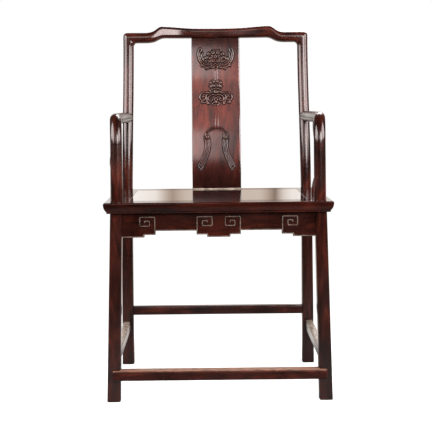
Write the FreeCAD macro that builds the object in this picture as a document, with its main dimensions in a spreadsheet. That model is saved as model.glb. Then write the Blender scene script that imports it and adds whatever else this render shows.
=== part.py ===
import FreeCAD, Part
import math
import os
import Sketcher
from FreeCAD import Placement, Rotation, Vector

# Hardwood armchair with a continuous stepped crest rail, in millimetres.
# +X is to the right as seen from the front, +Y runs from the front to the back, +Z is up.
# The origin is on the floor, in the middle of the chair's width and depth.
# Left and right are those of someone who faces the chair.
# The legs are the masters: each other piece is made a little too long and is then
# trimmed by the pieces that it meets, so a mortise leaves a tenon of its own size.

SIZES = {
    # whole chair
    "overall_depth": 520.0,
    "seat_width": 577.0,
    "seat_height": 511.0,
    # front legs, which run up through the seat as the arm posts
    "front_foot_side_inset": 17.1,
    "front_top_side_inset": 30.7,
    "front_post_side_inset": 31.7,
    "front_joint_side_inset": 33.0,
    "front_foot_inset": 30.0,
    "front_top_inset": 33.2,
    "front_joint_inset": 35.0,
    "front_post_width": 31.0,
    # rear legs, which run up through the seat as the back posts
    "rear_foot_side_inset": 25.2,
    "rear_top_side_inset": 30.0,
    "rear_post_side_inset": 31.5,
    "rear_crest_side_inset": 37.5,
    "rear_foot_setback": 9.5,
    "rear_edge_inset": 29.5,
    "rear_post_width": 30.0,
    "post_corner": 13.5,
    "back_rake": 51.0,
    "post_straight": 36.0,
    # leg sections below the seat
    "foot_width": 34.0,
    "leg_top_width": 30.6,
    "leg_corner": 5.0,
    "neck_width": 20.0,
    # crest rail
    "crest_rise": 450.0,
    "crest_end_height": 30.0,
    "crest_hump_height": 33.4,
    "crest_hump_rise": 17.8,
    "crest_dip": 5.8,
    "crest_deep": 30.0,
    "crest_bow": 22.0,
    "crest_hump_x": 149.0,
    "crest_step_x": 189.0,
    "crest_corner": 10.0,
    "crest_shoulder_round": 11.0,
    # back splat
    "splat_width": 140.0,
    "splat_thick": 11.0,
    "splat_edge": 1.6,
    "splat_tenon_width": 112.0,
    "splat_tenon_thick": 6.0,
    "splat_tenon": 12.0,
    # arms
    "arm_rise": 222.0,
    "arm_width": 29.8,
    "arm_bend": 62.0,
    "arm_bend_side_inset": 27.7,
    "post_tenon_width": 12.0,
    "post_tenon": 20.0,
    # curved posts under the arms
    "side_post_side_inset": 24.5,
    "side_post_bulge": 15.5,
    "side_post_head_shift": 1.5,
    "side_post_foot_width": 21.0,
    "side_post_head_width": 17.0,
    "side_post_straight": 14.0,
    "side_post_pin": 12.0,
    "side_post_head_pin": 9.0,
    "side_post_tenon": 14.0,
    # seat frame
    "frame_thick": 28.0,
    "rail_width": 62.0,
    "edge_round": 4.0,
    "edge_undercut": 9.0,
    "edge_bulge": 34.0,
    "mitre_tongue": 22.0,
    "mitre_tongue_width": 11.0,
    "mitre_tongue_thick": 9.0,
    # seat board and its battens
    "board_thick": 12.0,
    "board_lip": 5.0,
    "board_tongue": 8.0,
    "board_play": 0.4,
    "batten_x": 95.0,
    "batten_width": 34.0,
    "batten_neck": 22.0,
    "batten_key": 4.0,
    "batten_deep": 10.0,
    "batten_tenon": 10.0,
    # aprons
    "apron_thick": 18.0,
    "apron_setback": 4.0,
    "apron_thin": 45.0,
    "apron_mid": 55.0,
    "apron_low": 61.5,
    "lobe_low_reach": 70.3,
    "lobe_mid_reach": 98.6,
    "centre_low_half": 29.5,
    "centre_mid_half": 56.0,
    "apron_tongue": 9.0,
    "apron_tongue_thick": 8.0,
    # raised bands on the aprons
    "band_width": 3.2,
    "band_proud": 2.0,
    "scroll_width": 41.0,
    "scroll_height": 26.0,
    "scroll_drop": 10.0,
    "scroll_pitch": 12.2,
    "scroll_core_height": 13.0,
    # stretchers, which step up from the front to the sides and the back
    "stretcher_height": 26.0,
    "stretcher_thick": 22.0,
    "stretcher_round": 5.0,
    "front_stretcher_z": 57.0,
    "stretcher_step": 44.0,
    "stretcher_tenon": 17.0,
    "stretcher_tenon_thick": 10.0,
    "stretcher_tenon_height": 16.0,
    "foot_rail_proud": 12.0,
    "foot_rail_back": 24.0,
    "foot_rail_lap": 21.0,
    "foot_rail_lap_round": 8.0,
    # play at the ends of tenons and tongues, and how far a cut runs past the wood
    "joint_play": 0.3,
    "overrun": 60.0,
}

# The part of its height that a curved back piece takes for the lower bow of its S.
LOWER_BOW_SHARE = 0.55
# The crest rail's sections from the splat to the hump, and down the step.
CREST_INNER_SHARES = (0.0, 0.35, 0.7)
CREST_DIP_SHARES = (1.0, 0.76, 0.24)
CREST_STEP_SHARES = (0.0, 0.17, 0.37, 0.63, 0.83, 1.0)
# The back post's sections between the seat and its straight head.
POST_RISE_SHARES = (0.0, 0.16, 0.32, 0.46, 0.54, 0.68, 0.84, 1.0)
# The arm's sections from the back post to the bend, those that start a straight run, and
# the sections round the bend.
ARM_RUN_SHARES = (0.0, 0.13, 0.33, 0.54, 0.68, 0.84, 1.0)
ARM_STRAIGHT_RUNS = (0, 3)
ARM_BEND_SHARES = (0.0, 0.19, 0.39, 0.6, 0.8, 1.0)
# The sections of the post under the arm, and how far each stands out.
SIDE_POST_RISE_SHARES = (0.0, 0.14, 0.29, 0.46, 0.66, 0.84, 1.0)
SIDE_POST_BULGE_SHARES = (0.0, 0.26, 0.77, 1.0, 0.72, 0.2, 0.0)
SIDES = (("left", -1), ("right", 1))


class Size:
    """A length that knows its value and the expression that ties it to the sheet."""

    def __init__(self, value, text=None):
        self.value = float(value)
        self.text = text or repr(float(value))

    def combined(self, other, sign, value):
        return Size(value, "(" + self.text + " " + sign + " " + as_size(other).text + ")")

    def __add__(self, other):
        return self.combined(other, "+", self.value + as_size(other).value)

    def __sub__(self, other):
        return self.combined(other, "-", self.value - as_size(other).value)

    def __mul__(self, other):
        return self.combined(other, "*", self.value * as_size(other).value)

    def __truediv__(self, other):
        return self.combined(other, "/", self.value / as_size(other).value)

    def __radd__(self, other):
        return as_size(other) + self

    def __rsub__(self, other):
        return as_size(other) - self

    def __rmul__(self, other):
        return as_size(other) * self

    def __neg__(self):
        return as_size(0) - self


def as_size(number):
    return number if isinstance(number, Size) else Size(number)


doc = FreeCAD.newDocument("armchair")
sheet = doc.addObject("Spreadsheet::Sheet", "sizes")


class Named:
    """The sheet's sizes by name, as in S.seat_width."""


S = Named()
for row, (alias, number) in enumerate(SIZES.items(), start=1):
    sheet.set("A" + str(row), alias)
    sheet.set("B" + str(row), str(number))
    sheet.setAlias("B" + str(row), alias)
    setattr(S, alias, Size(number, "sizes." + alias))
doc.recompute()

# Levels and places that several pieces share. The legs and posts keep their distance from the
# sides of the seat.
seat_top = S.seat_height
frame_under = S.seat_height - S.frame_thick
half_seat = S.seat_width / 2
seat_front = -S.overall_depth / 2
front_foot_x = half_seat - S.front_foot_side_inset
front_top_x = half_seat - S.front_top_side_inset
front_post_x = half_seat - S.front_post_side_inset
front_joint_x = half_seat - S.front_joint_side_inset
rear_foot_x = half_seat - S.rear_foot_side_inset
rear_top_x = half_seat - S.rear_top_side_inset
rear_post_x = half_seat - S.rear_post_side_inset
rear_crest_x = half_seat - S.rear_crest_side_inset
arm_bend_x = half_seat - S.arm_bend_side_inset
side_post_x = half_seat - S.side_post_side_inset
back_post_y = S.overall_depth / 2 - S.crest_deep / 2 - S.crest_bow - S.back_rake
seat_back = back_post_y + S.rear_edge_inset
crest_end_top = S.seat_height + S.crest_rise
crest_end_mid = crest_end_top - S.crest_end_height / 2
arm_mid = S.seat_height + S.arm_rise - S.arm_width / 2
arm_joint = arm_mid - S.arm_bend
post_bend_rise = S.crest_rise - S.post_straight


def between(start, end, share):
    return start + (end - start) * share


def front_leg_x(height):
    return between(front_foot_x, front_top_x, height / frame_under)


def front_leg_y(height):
    inset = between(S.front_foot_inset, S.front_top_inset, height / frame_under)
    return seat_front + inset


def rear_leg_x(height):
    return between(rear_foot_x, rear_top_x, height / frame_under)


def rear_leg_y(height):
    return back_post_y + S.rear_foot_setback * (1 - height / frame_under)


def leg_width(height):
    return between(S.foot_width, S.leg_top_width, height / frame_under)


def new_body(label):
    body = doc.addObject("PartDesign::Body", label)
    body.Label = label
    return body


def sketch_on(body, name, role, offset=None):
    """A sketch on one of the body's own origin planes, moved along its normal by offset."""
    sketch = body.newObject("Sketcher::SketchObject", name)
    planes = [plane for plane in body.Origin.OriginFeatures if plane.Role == role]
    sketch.AttachmentSupport = [(planes[0], "")]
    sketch.MapMode = "FlatFace"
    if offset is not None:
        sketch.setExpression("AttachmentOffset.Base.z", offset.text)
    return sketch


def free_sketch(body, name, origin, across, upright):
    """A sketch at any place, from the ways that its own two axes run."""
    sketch = body.newObject("Sketcher::SketchObject", name)
    sketch.Placement = Placement(origin, Rotation(across, upright, Vector(), "XYZ"))
    return sketch


def tie(sketch, kind, places, size):
    """Adds a dimension and ties it to the sheet."""
    index = sketch.addConstraint(Sketcher.Constraint(kind, *places, size.value))
    sketch.setExpression("Constraints[" + str(index) + "]", size.text)


def pin_point(sketch, geometry, end, across, along):
    tie(sketch, "DistanceX", (-1, 1, geometry, end), across)
    tie(sketch, "DistanceY", (-1, 1, geometry, end), along)


def draw_circle(sketch, across, along, width):
    centre = Vector(across.value, along.value, 0)
    circle = sketch.addGeometry(Part.Circle(centre, Vector(0, 0, 1), width.value / 2))
    pin_point(sketch, circle, 3, across, along)
    tie(sketch, "Diameter", (circle,), width)
    return sketch


def draw_outline(sketch, corners):
    """A closed outline of lines and arcs. A third value at a corner is the radius of the arc
    that follows it. The arc bulges to the right of its run, or to the left if a fourth value
    is -1."""
    points = [Vector(corner[0].value, corner[1].value, 0) for corner in corners]
    ends = []
    for index, corner in enumerate(corners):
        start, end = points[index], points[(index + 1) % len(points)]
        if len(corner) > 2:
            chord = end - start
            side = corner[3] if len(corner) > 3 else 1
            outward = Vector(chord.y, -chord.x, 0).normalize() * side
            reach = (corner[2].value ** 2 - chord.Length ** 2 / 4) ** 0.5
            middle = (start + end) / 2 + outward * (corner[2].value - reach)
            geometry = sketch.addGeometry(Part.Arc(start, middle, end))
            forward = sketch.getPoint(geometry, 1).distanceToPoint(start) < chord.Length / 2
            ends.append((geometry, 1, 2) if forward else (geometry, 2, 1))
            tie(sketch, "Radius", (geometry,), corner[2])
        else:
            geometry = sketch.addGeometry(Part.LineSegment(start, end))
            ends.append((geometry, 1, 2))
    for index, (geometry, first, last) in enumerate(ends):
        pin_point(sketch, geometry, first, corners[index][0], corners[index][1])
        following = ends[(index + 1) % len(ends)]
        joint = (geometry, last, following[0], following[1])
        sketch.addConstraint(Sketcher.Constraint("Coincident", *joint))
    return sketch


def rounded_corners(across, along, width, deep, corner):
    """The corners of a rectangle with rounded corners, centred on a point."""
    left, right = across - width / 2, across + width / 2
    low, high = along - deep / 2, along + deep / 2
    return [
        (left + corner, low),
        (right - corner, low, corner),
        (right, low + corner),
        (right, high - corner, corner),
        (right - corner, high),
        (left + corner, high, corner),
        (left, high - corner),
        (left, low + corner, corner),
    ]


def loft(body, name, sketches, ruled=False):
    feature = body.newObject("PartDesign::AdditiveLoft", name)
    feature.Profile = sketches[0]
    feature.Sections = sketches[1:]
    feature.Ruled = ruled
    return feature


def ease_long_edges(body, name, feature, across, size):
    """Chamfers the edges of a board that lie in its two side faces, but not its square ends."""
    doc.recompute()
    edges = []
    for index, edge in enumerate(feature.Shape.Edges, start=1):
        on_side = all(abs(abs(vertex.X) - across.value) < across.value / 1e6 for vertex in edge.Vertexes)
        low, high = edge.BoundBox.ZMin, edge.BoundBox.ZMax
        if on_side and high - low > edge.Length / 2:
            edges.append("Edge" + str(index))
    eased = body.newObject("PartDesign::Chamfer", name)
    eased.Base = (feature, edges)
    eased.Size = size.value
    eased.setExpression("Size", size.text)
    return eased


def pad(body, name, sketch, length, midplane=False, backwards=False):
    feature = body.newObject("PartDesign::Pad", name)
    feature.Profile = sketch
    feature.setExpression("Length", length.text)
    feature.Length = length.value
    feature.SideType = "Symmetric" if midplane else "One side"
    feature.Reversed = backwards
    return feature


def pocket_through(body, name, sketch):
    """Cuts a sketch's outline right through the body, both ways."""
    feature = body.newObject("PartDesign::Pocket", name)
    feature.Profile = sketch
    feature.SideType = "Symmetric"
    feature.Type = "ThroughAll"
    return feature


def block(body, kind, name, low, high):
    """An added or cut block between two opposite corners."""
    feature = body.newObject("PartDesign::" + kind + "Box", name)
    for side, axis, start, end in zip(("Length", "Width", "Height"), "xyz", low, high):
        start, end = as_size(start), as_size(end)
        setattr(feature, side, (end - start).value)
        feature.setExpression(side, (end - start).text)
        feature.setExpression("Placement.Base." + axis, start.text)
    return feature


def drill(body, name, centre, low, high, width):
    """A round vertical hole."""
    feature = body.newObject("PartDesign::SubtractiveCylinder", name)
    feature.setExpression("Radius", (width / 2).text)
    feature.setExpression("Height", (high - low).text)
    for axis, place in zip("xyz", (centre[0], centre[1], low)):
        feature.setExpression("Placement.Base." + axis, place.text)
    return feature


def trimmed(label, blank, neighbours):
    """The blank less the pieces that it meets, under its final name."""
    blank.Label = label + "_blank"
    tool = neighbours[0]
    if len(neighbours) > 1:
        tool = doc.addObject("Part::Compound", label + "_neighbours")
        tool.Links = neighbours
    cut = doc.addObject("Part::Cut", label)
    cut.Base = blank
    cut.Tool = tool
    cut.Label = label
    return cut


def leg_section(body, name, level, across, along, width):
    sketch = sketch_on(body, name, "XY_Plane", level)
    return draw_outline(sketch, rounded_corners(across, along, width, width, S.leg_corner))


def tenon_span(middle, size):
    return middle - size / 2, middle + size / 2


def stretcher_mortise(body, name, underside, across, along, axis, way):
    """A blind mortise that is open on the leg's face that looks the given way along an axis."""
    middle = underside + S.stretcher_height / 2
    low_z, high_z = tenon_span(middle, S.stretcher_tenon_height)
    centre = {"x": across(middle), "y": along(middle)}
    half = leg_width(middle) / 2
    other = "y" if axis == "x" else "x"
    floor = centre[axis] + way * (half - S.stretcher_tenon)
    mouth = centre[axis] + way * (half + S.foot_width / 2)
    spans = {
        axis: (floor, mouth) if way > 0 else (mouth, floor),
        other: tenon_span(centre[other], S.stretcher_tenon_thick),
        "z": (low_z, high_z),
    }
    block(body, "Subtractive", name, *zip(spans["x"], spans["y"], spans["z"]))


def apron_slot(body, name, across, along, apron_mid_line, axis, way):
    """A slot for an apron's tongue, open on one inner face of the leg."""
    low_z = frame_under - S.apron_thin
    high_z = frame_under - S.apron_tongue
    centre = {"x": across(low_z), "y": along(low_z)}
    half = leg_width(low_z) / 2
    other = "y" if axis == "x" else "x"
    floor = centre[axis] + way * (half - S.apron_tongue)
    mouth = centre[axis] + way * (half + S.foot_width / 2)
    spans = {
        axis: (floor, mouth) if way > 0 else (mouth, floor),
        other: tenon_span(apron_mid_line, S.apron_tongue_thick),
        "z": (low_z, high_z),
    }
    block(body, "Subtractive", name, *zip(spans["x"], spans["y"], spans["z"]))


def apron_line(edge_at_top, way):
    """Middle of an apron's thickness, set back from the legs' outer faces."""
    return edge_at_top - way * (S.apron_setback + S.apron_thick / 2)


front_apron_y = apron_line(seat_front + S.front_top_inset - S.leg_top_width / 2, -1)
rear_apron_y = apron_line(back_post_y + S.leg_top_width / 2, 1)
side_apron_x = apron_line(front_top_x + S.leg_top_width / 2, 1)


def leg_core(body, across, along):
    """The square leg from the floor to the seat frame, and the neck through the frame."""
    foot = leg_section(body, "foot", as_size(0), across(as_size(0)), along(as_size(0)), S.foot_width)
    top = leg_section(body, "top", frame_under, across(frame_under), along(frame_under), S.leg_top_width)
    loft(body, "leg", [foot, top], ruled=True)
    low_x, high_x = tenon_span(across(frame_under), S.neck_width)
    low_y, high_y = tenon_span(along(frame_under), S.neck_width)
    block(body, "Additive", "neck", (low_x, low_y, frame_under), (high_x, high_y, seat_top))


def make_front_leg(name, sign):
    body = new_body(name)

    def across(height):
        return sign * front_leg_x(height)

    leg_core(body, across, front_leg_y)
    post_y = seat_front + S.front_top_inset
    joint_y = seat_front + S.front_joint_inset
    base = sketch_on(body, "post_base", "XY_Plane", seat_top)
    draw_circle(base, sign * front_post_x, post_y, S.front_post_width)
    head = sketch_on(body, "post_head", "XY_Plane", arm_joint)
    draw_circle(head, sign * front_joint_x, joint_y, S.arm_width)
    loft(body, "post", [base, head], ruled=True)
    low_x, high_x = tenon_span(sign * front_joint_x, S.post_tenon_width)
    low_y, high_y = tenon_span(joint_y, S.post_tenon_width)
    tenon_end = arm_joint + S.post_tenon
    block(body, "Additive", "post_tenon", (low_x, low_y, arm_joint), (high_x, high_y, tenon_end))
    side_z = S.front_stretcher_z + S.stretcher_step
    stretcher_mortise(body, "foot_rail_mortise", S.front_stretcher_z, across, front_leg_y, "x", -sign)
    stretcher_mortise(body, "side_mortise", side_z, across, front_leg_y, "y", 1)
    apron_slot(body, "front_apron_slot", across, front_leg_y, front_apron_y, "x", -sign)
    apron_slot(body, "side_apron_slot", across, front_leg_y, sign * side_apron_x, "y", 1)
    return body


def bow_radius(rake, rise, share):
    """Radius of one of the two arcs of an S that starts and ends upright."""
    return (rake * rake + rise * rise) * share / (rake * 2)


def rake_at(rake, rise, height):
    """How far back an S-curved piece stands at a height above its foot."""
    lower = bow_radius(rake, rise, LOWER_BOW_SHARE).value
    upper = bow_radius(rake, rise, 1 - LOWER_BOW_SHARE).value
    above = rise.value - height.value
    if height.value < rise.value * LOWER_BOW_SHARE:
        return lower - (lower ** 2 - height.value ** 2) ** 0.5
    return rake.value - upper + (upper ** 2 - above ** 2) ** 0.5


def back_curve(rake, rise, foot, offset):
    """The S of a back piece from foot to head, as corners of a path, moved back by offset."""
    lean = 2 * math.atan(rake.value / rise.value)
    lower = bow_radius(rake, rise, LOWER_BOW_SHARE) - offset
    upper = bow_radius(rake, rise, 1 - LOWER_BOW_SHARE) + offset
    turn_y = rake * LOWER_BOW_SHARE + offset * math.cos(lean)
    turn_z = rise * LOWER_BOW_SHARE - offset * math.sin(lean)
    return [
        (back_post_y + offset, foot, lower, -1),
        (back_post_y + turn_y, foot + turn_z, upper),
        (back_post_y + rake + offset, foot + rise),
    ]


def corner_waste(body, name, sign):
    """Rounds the outer corner where the post and the crest rail meet."""
    outer = rear_crest_x + S.rear_post_width / 2
    inner = outer - S.crest_shoulder_round
    low = crest_end_top - S.crest_shoulder_round
    corners = [
        (outer, low, S.crest_shoulder_round),
        (inner, crest_end_top),
        (inner, crest_end_top + S.overrun),
        (outer + S.overrun, crest_end_top + S.overrun),
        (outer + S.overrun, low),
    ]
    if sign < 0:
        corners = mirrored_outline(corners)
    pocket_through(body, name, draw_outline(sketch_on(body, name + "_outline", "XZ_Plane"), corners))


def mirrored_outline(corners):
    """The outline on the other side of the middle, still with its arc first."""
    flipped = [(-corner[0], corner[1]) for corner in corners]
    radius = corners[0][2]
    return [(flipped[1][0], flipped[1][1], radius), flipped[0]] + flipped[:1:-1]


def mitre_waste(body, name, sign, above):
    """Cuts away the wood above or below the mitre between post and crest rail."""
    outer = rear_crest_x + S.rear_post_width / 2
    inner = outer - S.crest_end_height
    low = crest_end_top - S.crest_end_height
    reach = S.overrun
    if above:
        corners = [
            (sign * (inner - reach), low - reach),
            (sign * (outer + reach), crest_end_top + reach),
            (sign * (inner - reach), crest_end_top + reach),
        ]
    else:
        corners = [
            (sign * (inner - reach), low - reach),
            (sign * (outer + reach), low - reach),
            (sign * (outer + reach), crest_end_top + reach),
        ]
    pocket_through(body, name, draw_outline(sketch_on(body, name + "_outline", "XZ_Plane"), corners))


def make_rear_leg(name, sign):
    body = new_body(name)

    def across(height):
        return sign * rear_leg_x(height)

    leg_core(body, across, rear_leg_y)
    sections = []
    for index, share in enumerate(POST_RISE_SHARES):
        sketch = sketch_on(body, "post_" + str(index), "XY_Plane", seat_top + post_bend_rise * share)
        post_x, post_y = back_post_at(post_bend_rise * share)
        width = S.rear_post_width
        corners = rounded_corners(sign * post_x, post_y, width, width, S.post_corner)
        sections.append(draw_outline(sketch, corners))
    loft(body, "post", sections, ruled=True)
    pad(body, "post_head", sections[-1], S.post_straight)
    mitre_waste(body, "crest_mitre", sign, above=True)
    corner_waste(body, "crest_corner", sign)
    tenon_y = back_post_y + S.back_rake
    low_x, high_x = tenon_span(sign * rear_crest_x, S.post_tenon_width)
    low_y, high_y = tenon_span(tenon_y, S.post_tenon_width)
    tenon_low = crest_end_top - S.crest_end_height
    tenon_high = tenon_low + S.post_tenon
    block(body, "Additive", "crest_tenon", (low_x, low_y, tenon_low), (high_x, high_y, tenon_high))
    rear_z = S.front_stretcher_z + S.stretcher_step * 2
    side_z = S.front_stretcher_z + S.stretcher_step
    stretcher_mortise(body, "rear_mortise", rear_z, across, rear_leg_y, "x", -sign)
    stretcher_mortise(body, "side_mortise", side_z, across, rear_leg_y, "y", -1)
    apron_slot(body, "rear_apron_slot", across, rear_leg_y, rear_apron_y, "x", -sign)
    apron_slot(body, "side_apron_slot", across, rear_leg_y, sign * side_apron_x, "y", -1)
    arm_x, arm_y = arm_root(sign)
    low_x, high_x = tenon_span(arm_x, S.post_tenon_width)
    low_z, high_z = tenon_span(arm_mid, S.post_tenon_width)
    mouth_y = arm_y - S.rear_post_width
    block(body, "Subtractive", "arm_mortise", (low_x, mouth_y, low_z), (high_x, arm_y, high_z))
    return body


def back_post_at(height):
    """The middle of the right back post at a height above the seat."""
    across = between(rear_post_x, rear_crest_x, height / post_bend_rise)
    back = rake_at(S.back_rake, post_bend_rise, height) / S.back_rake.value
    return across, back_post_y + S.back_rake * back


def arm_root(sign):
    """Where the arm's centre line meets the middle of the back post."""
    root_x, root_y = back_post_at(S.arm_rise - S.arm_width / 2)
    return sign * root_x, root_y


def crest_section(body, name, across, middle_z, height, along, corner):
    sketch = sketch_on(body, name, "YZ_Plane", across)
    return draw_outline(sketch, rounded_corners(along, middle_z, S.crest_deep, height, corner))


def crest_bow_at(across):
    """How far back the crest rail stands from its ends: straight over the splat, then curved."""
    half = S.splat_width.value / 2
    share = max(0.0, across.value - half) / (S.crest_step_x.value - half)
    return S.crest_bow * (1 - share ** 2) ** 1.5


def make_crest_blank():
    """The rail is straight over the splat, dips from its humps to there, and steps down at
    each side to a straight end that is mitred to the back post."""
    body = new_body("crest_rail")
    end_y = back_post_y + S.back_rake
    outer = rear_crest_x + S.rear_post_width / 2
    half_splat = S.splat_width / 2
    hump_mid = crest_end_top + S.crest_hump_rise - S.crest_hump_height / 2
    stations = []
    for place, dip in zip(CREST_INNER_SHARES, CREST_DIP_SHARES):
        sink = S.crest_dip * dip
        across = between(half_splat, S.crest_hump_x, place)
        stations.append((across, hump_mid - sink / 2, S.crest_hump_height - sink, S.crest_corner))
    for place in CREST_STEP_SHARES:
        across = between(S.crest_hump_x, S.crest_step_x, place)
        drop = (1 - math.cos(math.pi * place)) / 2
        height = between(S.crest_hump_height, S.crest_end_height, drop)
        corner = between(S.crest_corner, S.post_corner, drop)
        stations.append((across, between(hump_mid, crest_end_mid, drop), height, corner))
    for side, sign in SIDES:
        sections = []
        for index, (across, middle, height, corner) in enumerate(stations):
            name = side + "_section_" + str(index)
            along = end_y + crest_bow_at(across)
            sections.append(crest_section(body, name, sign * across, middle, height, along, corner))
        loft(body, side + "_step", sections, ruled=True)
        pad(body, side + "_end", sections[-1], outer - S.crest_step_x, backwards=sign < 0)
        if sign < 0:
            pad(body, "middle", sections[0], S.splat_width)
    for side, sign in SIDES:
        mitre_waste(body, side + "_mitre", sign, above=False)
        corner_waste(body, side + "_corner", sign)
    under = hump_mid - S.crest_hump_height / 2
    low_x, high_x = tenon_span(as_size(0), S.splat_tenon_width)
    low_y, high_y = tenon_span(end_y + S.crest_bow, S.splat_tenon_thick)
    top = under + S.splat_tenon
    block(body, "Subtractive", "splat_slot", (low_x, low_y, under - S.overrun), (high_x, high_y, top))
    return body


def make_splat_blank():
    """The board of the back, curved in an S as seen from the side."""
    body = new_body("back_splat")
    rise = S.crest_rise + S.crest_hump_rise - S.crest_hump_height
    rake = S.back_rake + S.crest_bow
    half = S.splat_thick / 2
    tenon = S.splat_tenon - S.joint_play
    front, back = back_curve(rake, rise, seat_top, -half), back_curve(rake, rise, seat_top, half)
    foot, head = seat_top - tenon, seat_top + rise + tenon
    corners = [(front[0][0], foot)] + front + [(front[2][0], head), (back[2][0], head)]
    corners += [
        (back[2][0], back[2][1], back[1][2], -1),
        (back[1][0], back[1][1], back[0][2]),
        (back[0][0], back[0][1]),
        (back[0][0], foot),
    ]
    sketch = draw_outline(sketch_on(body, "side_view", "YZ_Plane"), corners)
    board = pad(body, "board", sketch, S.splat_width, midplane=True)
    ease_long_edges(body, "eased_edges", board, S.splat_width / 2, S.splat_edge)
    return body


def side_post_y():
    return between(back_post_y, seat_front + S.front_top_inset, 0.5)


def side_post_head_x(sign):
    return sign * (side_post_x + S.side_post_head_shift)


def arm_run(sign):
    """Places along the bowed run of the arm, from the back post to the bend, and the angle
    at which it then runs in."""
    root_x, root_y = (place.value for place in arm_root(1))
    joint_x, joint_y = front_joint_x.value, (seat_front + S.front_joint_inset).value
    run_in = math.asin((arm_bend_x.value - joint_x) / S.arm_bend.value)
    bend_x, bend_y = arm_bend_x.value, joint_y + S.arm_bend.value * math.cos(run_in)
    run_out = run_in + 2 * math.atan2(bend_x - root_x, root_y - bend_y)
    radius = math.hypot(bend_x - root_x, root_y - bend_y) / (2 * math.sin((run_in + run_out) / 2))
    centre_x, centre_y = bend_x - radius * math.cos(run_in), bend_y + radius * math.sin(run_in)
    places = []
    for share in ARM_RUN_SHARES:
        turn = run_out - (run_in + run_out) * share
        across, along = centre_x + radius * math.cos(turn), centre_y + radius * math.sin(turn)
        places.append(Vector(sign * across, along, arm_mid.value))
    return places, run_in


def make_arm_blank(name, sign):
    """A round rail that bows outwards in plan and then turns down to the front post. It is
    straight where it meets the back post and where the post under it stands."""
    body = new_body(name)
    places, run_in = arm_run(sign)
    up = Vector(0, 0, 1)

    def section(label, place, way, aside):
        sketch = free_sketch(body, label, place, aside, way.cross(aside))
        return draw_circle(sketch, as_size(0), as_size(0), S.arm_width)

    sections = {}
    for index, place in enumerate(places[:-1]):
        starts_straight, ends_straight = index in ARM_STRAIGHT_RUNS, index - 1 in ARM_STRAIGHT_RUNS
        before = place if starts_straight else places[index - 1]
        after = place if ends_straight else places[index + 1]
        way = (after - before).normalize()
        sections[index] = section("run_" + str(index), place, way, way.cross(up))
    for index in ARM_STRAIGHT_RUNS:
        length = Size((places[index + 1] - places[index]).Length)
        pad(body, "straight_" + str(index), sections[index], length)
    loft(body, "rear_bow", [sections[index] for index in (1, 2, 3)], ruled=True)
    ahead = Vector(-sign * math.sin(run_in), -math.cos(run_in), 0)
    aside = ahead.cross(up)
    bend = [sections[index] for index in (4, 5)]
    for index, share in enumerate(ARM_BEND_SHARES):
        turn = math.pi / 2 * share
        reach = ahead * math.sin(turn) - up * (1 - math.cos(turn))
        way = ahead * math.cos(turn) - up * math.sin(turn)
        place = places[-1] + reach * S.arm_bend.value
        bend.append(section("bend_" + str(index), place, way, aside))
    loft(body, "front_bow_and_bend", bend, ruled=True)
    centre = (side_post_head_x(sign), side_post_y())
    low = arm_mid - S.arm_width
    drill(body, "side_post_hole", centre, low, arm_mid, S.side_post_head_pin)
    return body


def make_side_post_blank(name, sign):
    """The slender post under the arm, which swells outwards and back in as it tapers."""
    body = new_body(name)
    along = side_post_y()
    foot = seat_top - S.side_post_tenon
    low = seat_top + S.side_post_straight
    high = arm_mid - S.arm_width / 2 - S.side_post_straight
    sections = []
    for index, (rise, bulge) in enumerate(zip(SIDE_POST_RISE_SHARES, SIDE_POST_BULGE_SHARES)):
        sketch = sketch_on(body, "section_" + str(index), "XY_Plane", between(low, high, rise))
        rest = side_post_x + S.side_post_head_shift * rise
        width = between(S.side_post_foot_width, S.side_post_head_width, rise)
        sections.append(draw_circle(sketch, sign * (rest + S.side_post_bulge * bulge), along, width))
    loft(body, "bow", sections, ruled=True)
    pad(body, "foot", sections[0], S.side_post_straight, backwards=True)
    pad(body, "head", sections[-1], arm_mid - high)
    pin = sketch_on(body, "foot_pin_outline", "XY_Plane", foot)
    draw_circle(pin, sign * side_post_x, along, S.side_post_pin)
    pad(body, "foot_pin", pin, S.side_post_tenon)
    return body


def rail_profile(sketch, outer, way):
    """A seat rail's section: moulded outer edge, and the groove for the seat board."""
    inner = outer - way * S.rail_width
    groove = inner + way * S.board_tongue
    lip = seat_top - S.board_lip
    groove_low = seat_top - S.board_thick
    corners = [
        (outer - way * S.edge_round, seat_top),
        (inner, seat_top),
        (inner, lip),
        (groove, lip),
        (groove, groove_low),
        (inner, groove_low),
        (inner, frame_under),
        (outer - way * S.edge_undercut, frame_under, S.edge_bulge, way),
        (outer, seat_top - S.edge_round, S.edge_round, way),
    ]
    return draw_outline(sketch, corners)


def mitred(body, corners_of_waste):
    for index, corners in enumerate(corners_of_waste):
        sketch = draw_outline(sketch_on(body, "mitre_" + str(index), "XY_Plane"), corners)
        pocket_through(body, "mitre_cut_" + str(index), sketch)


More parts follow.
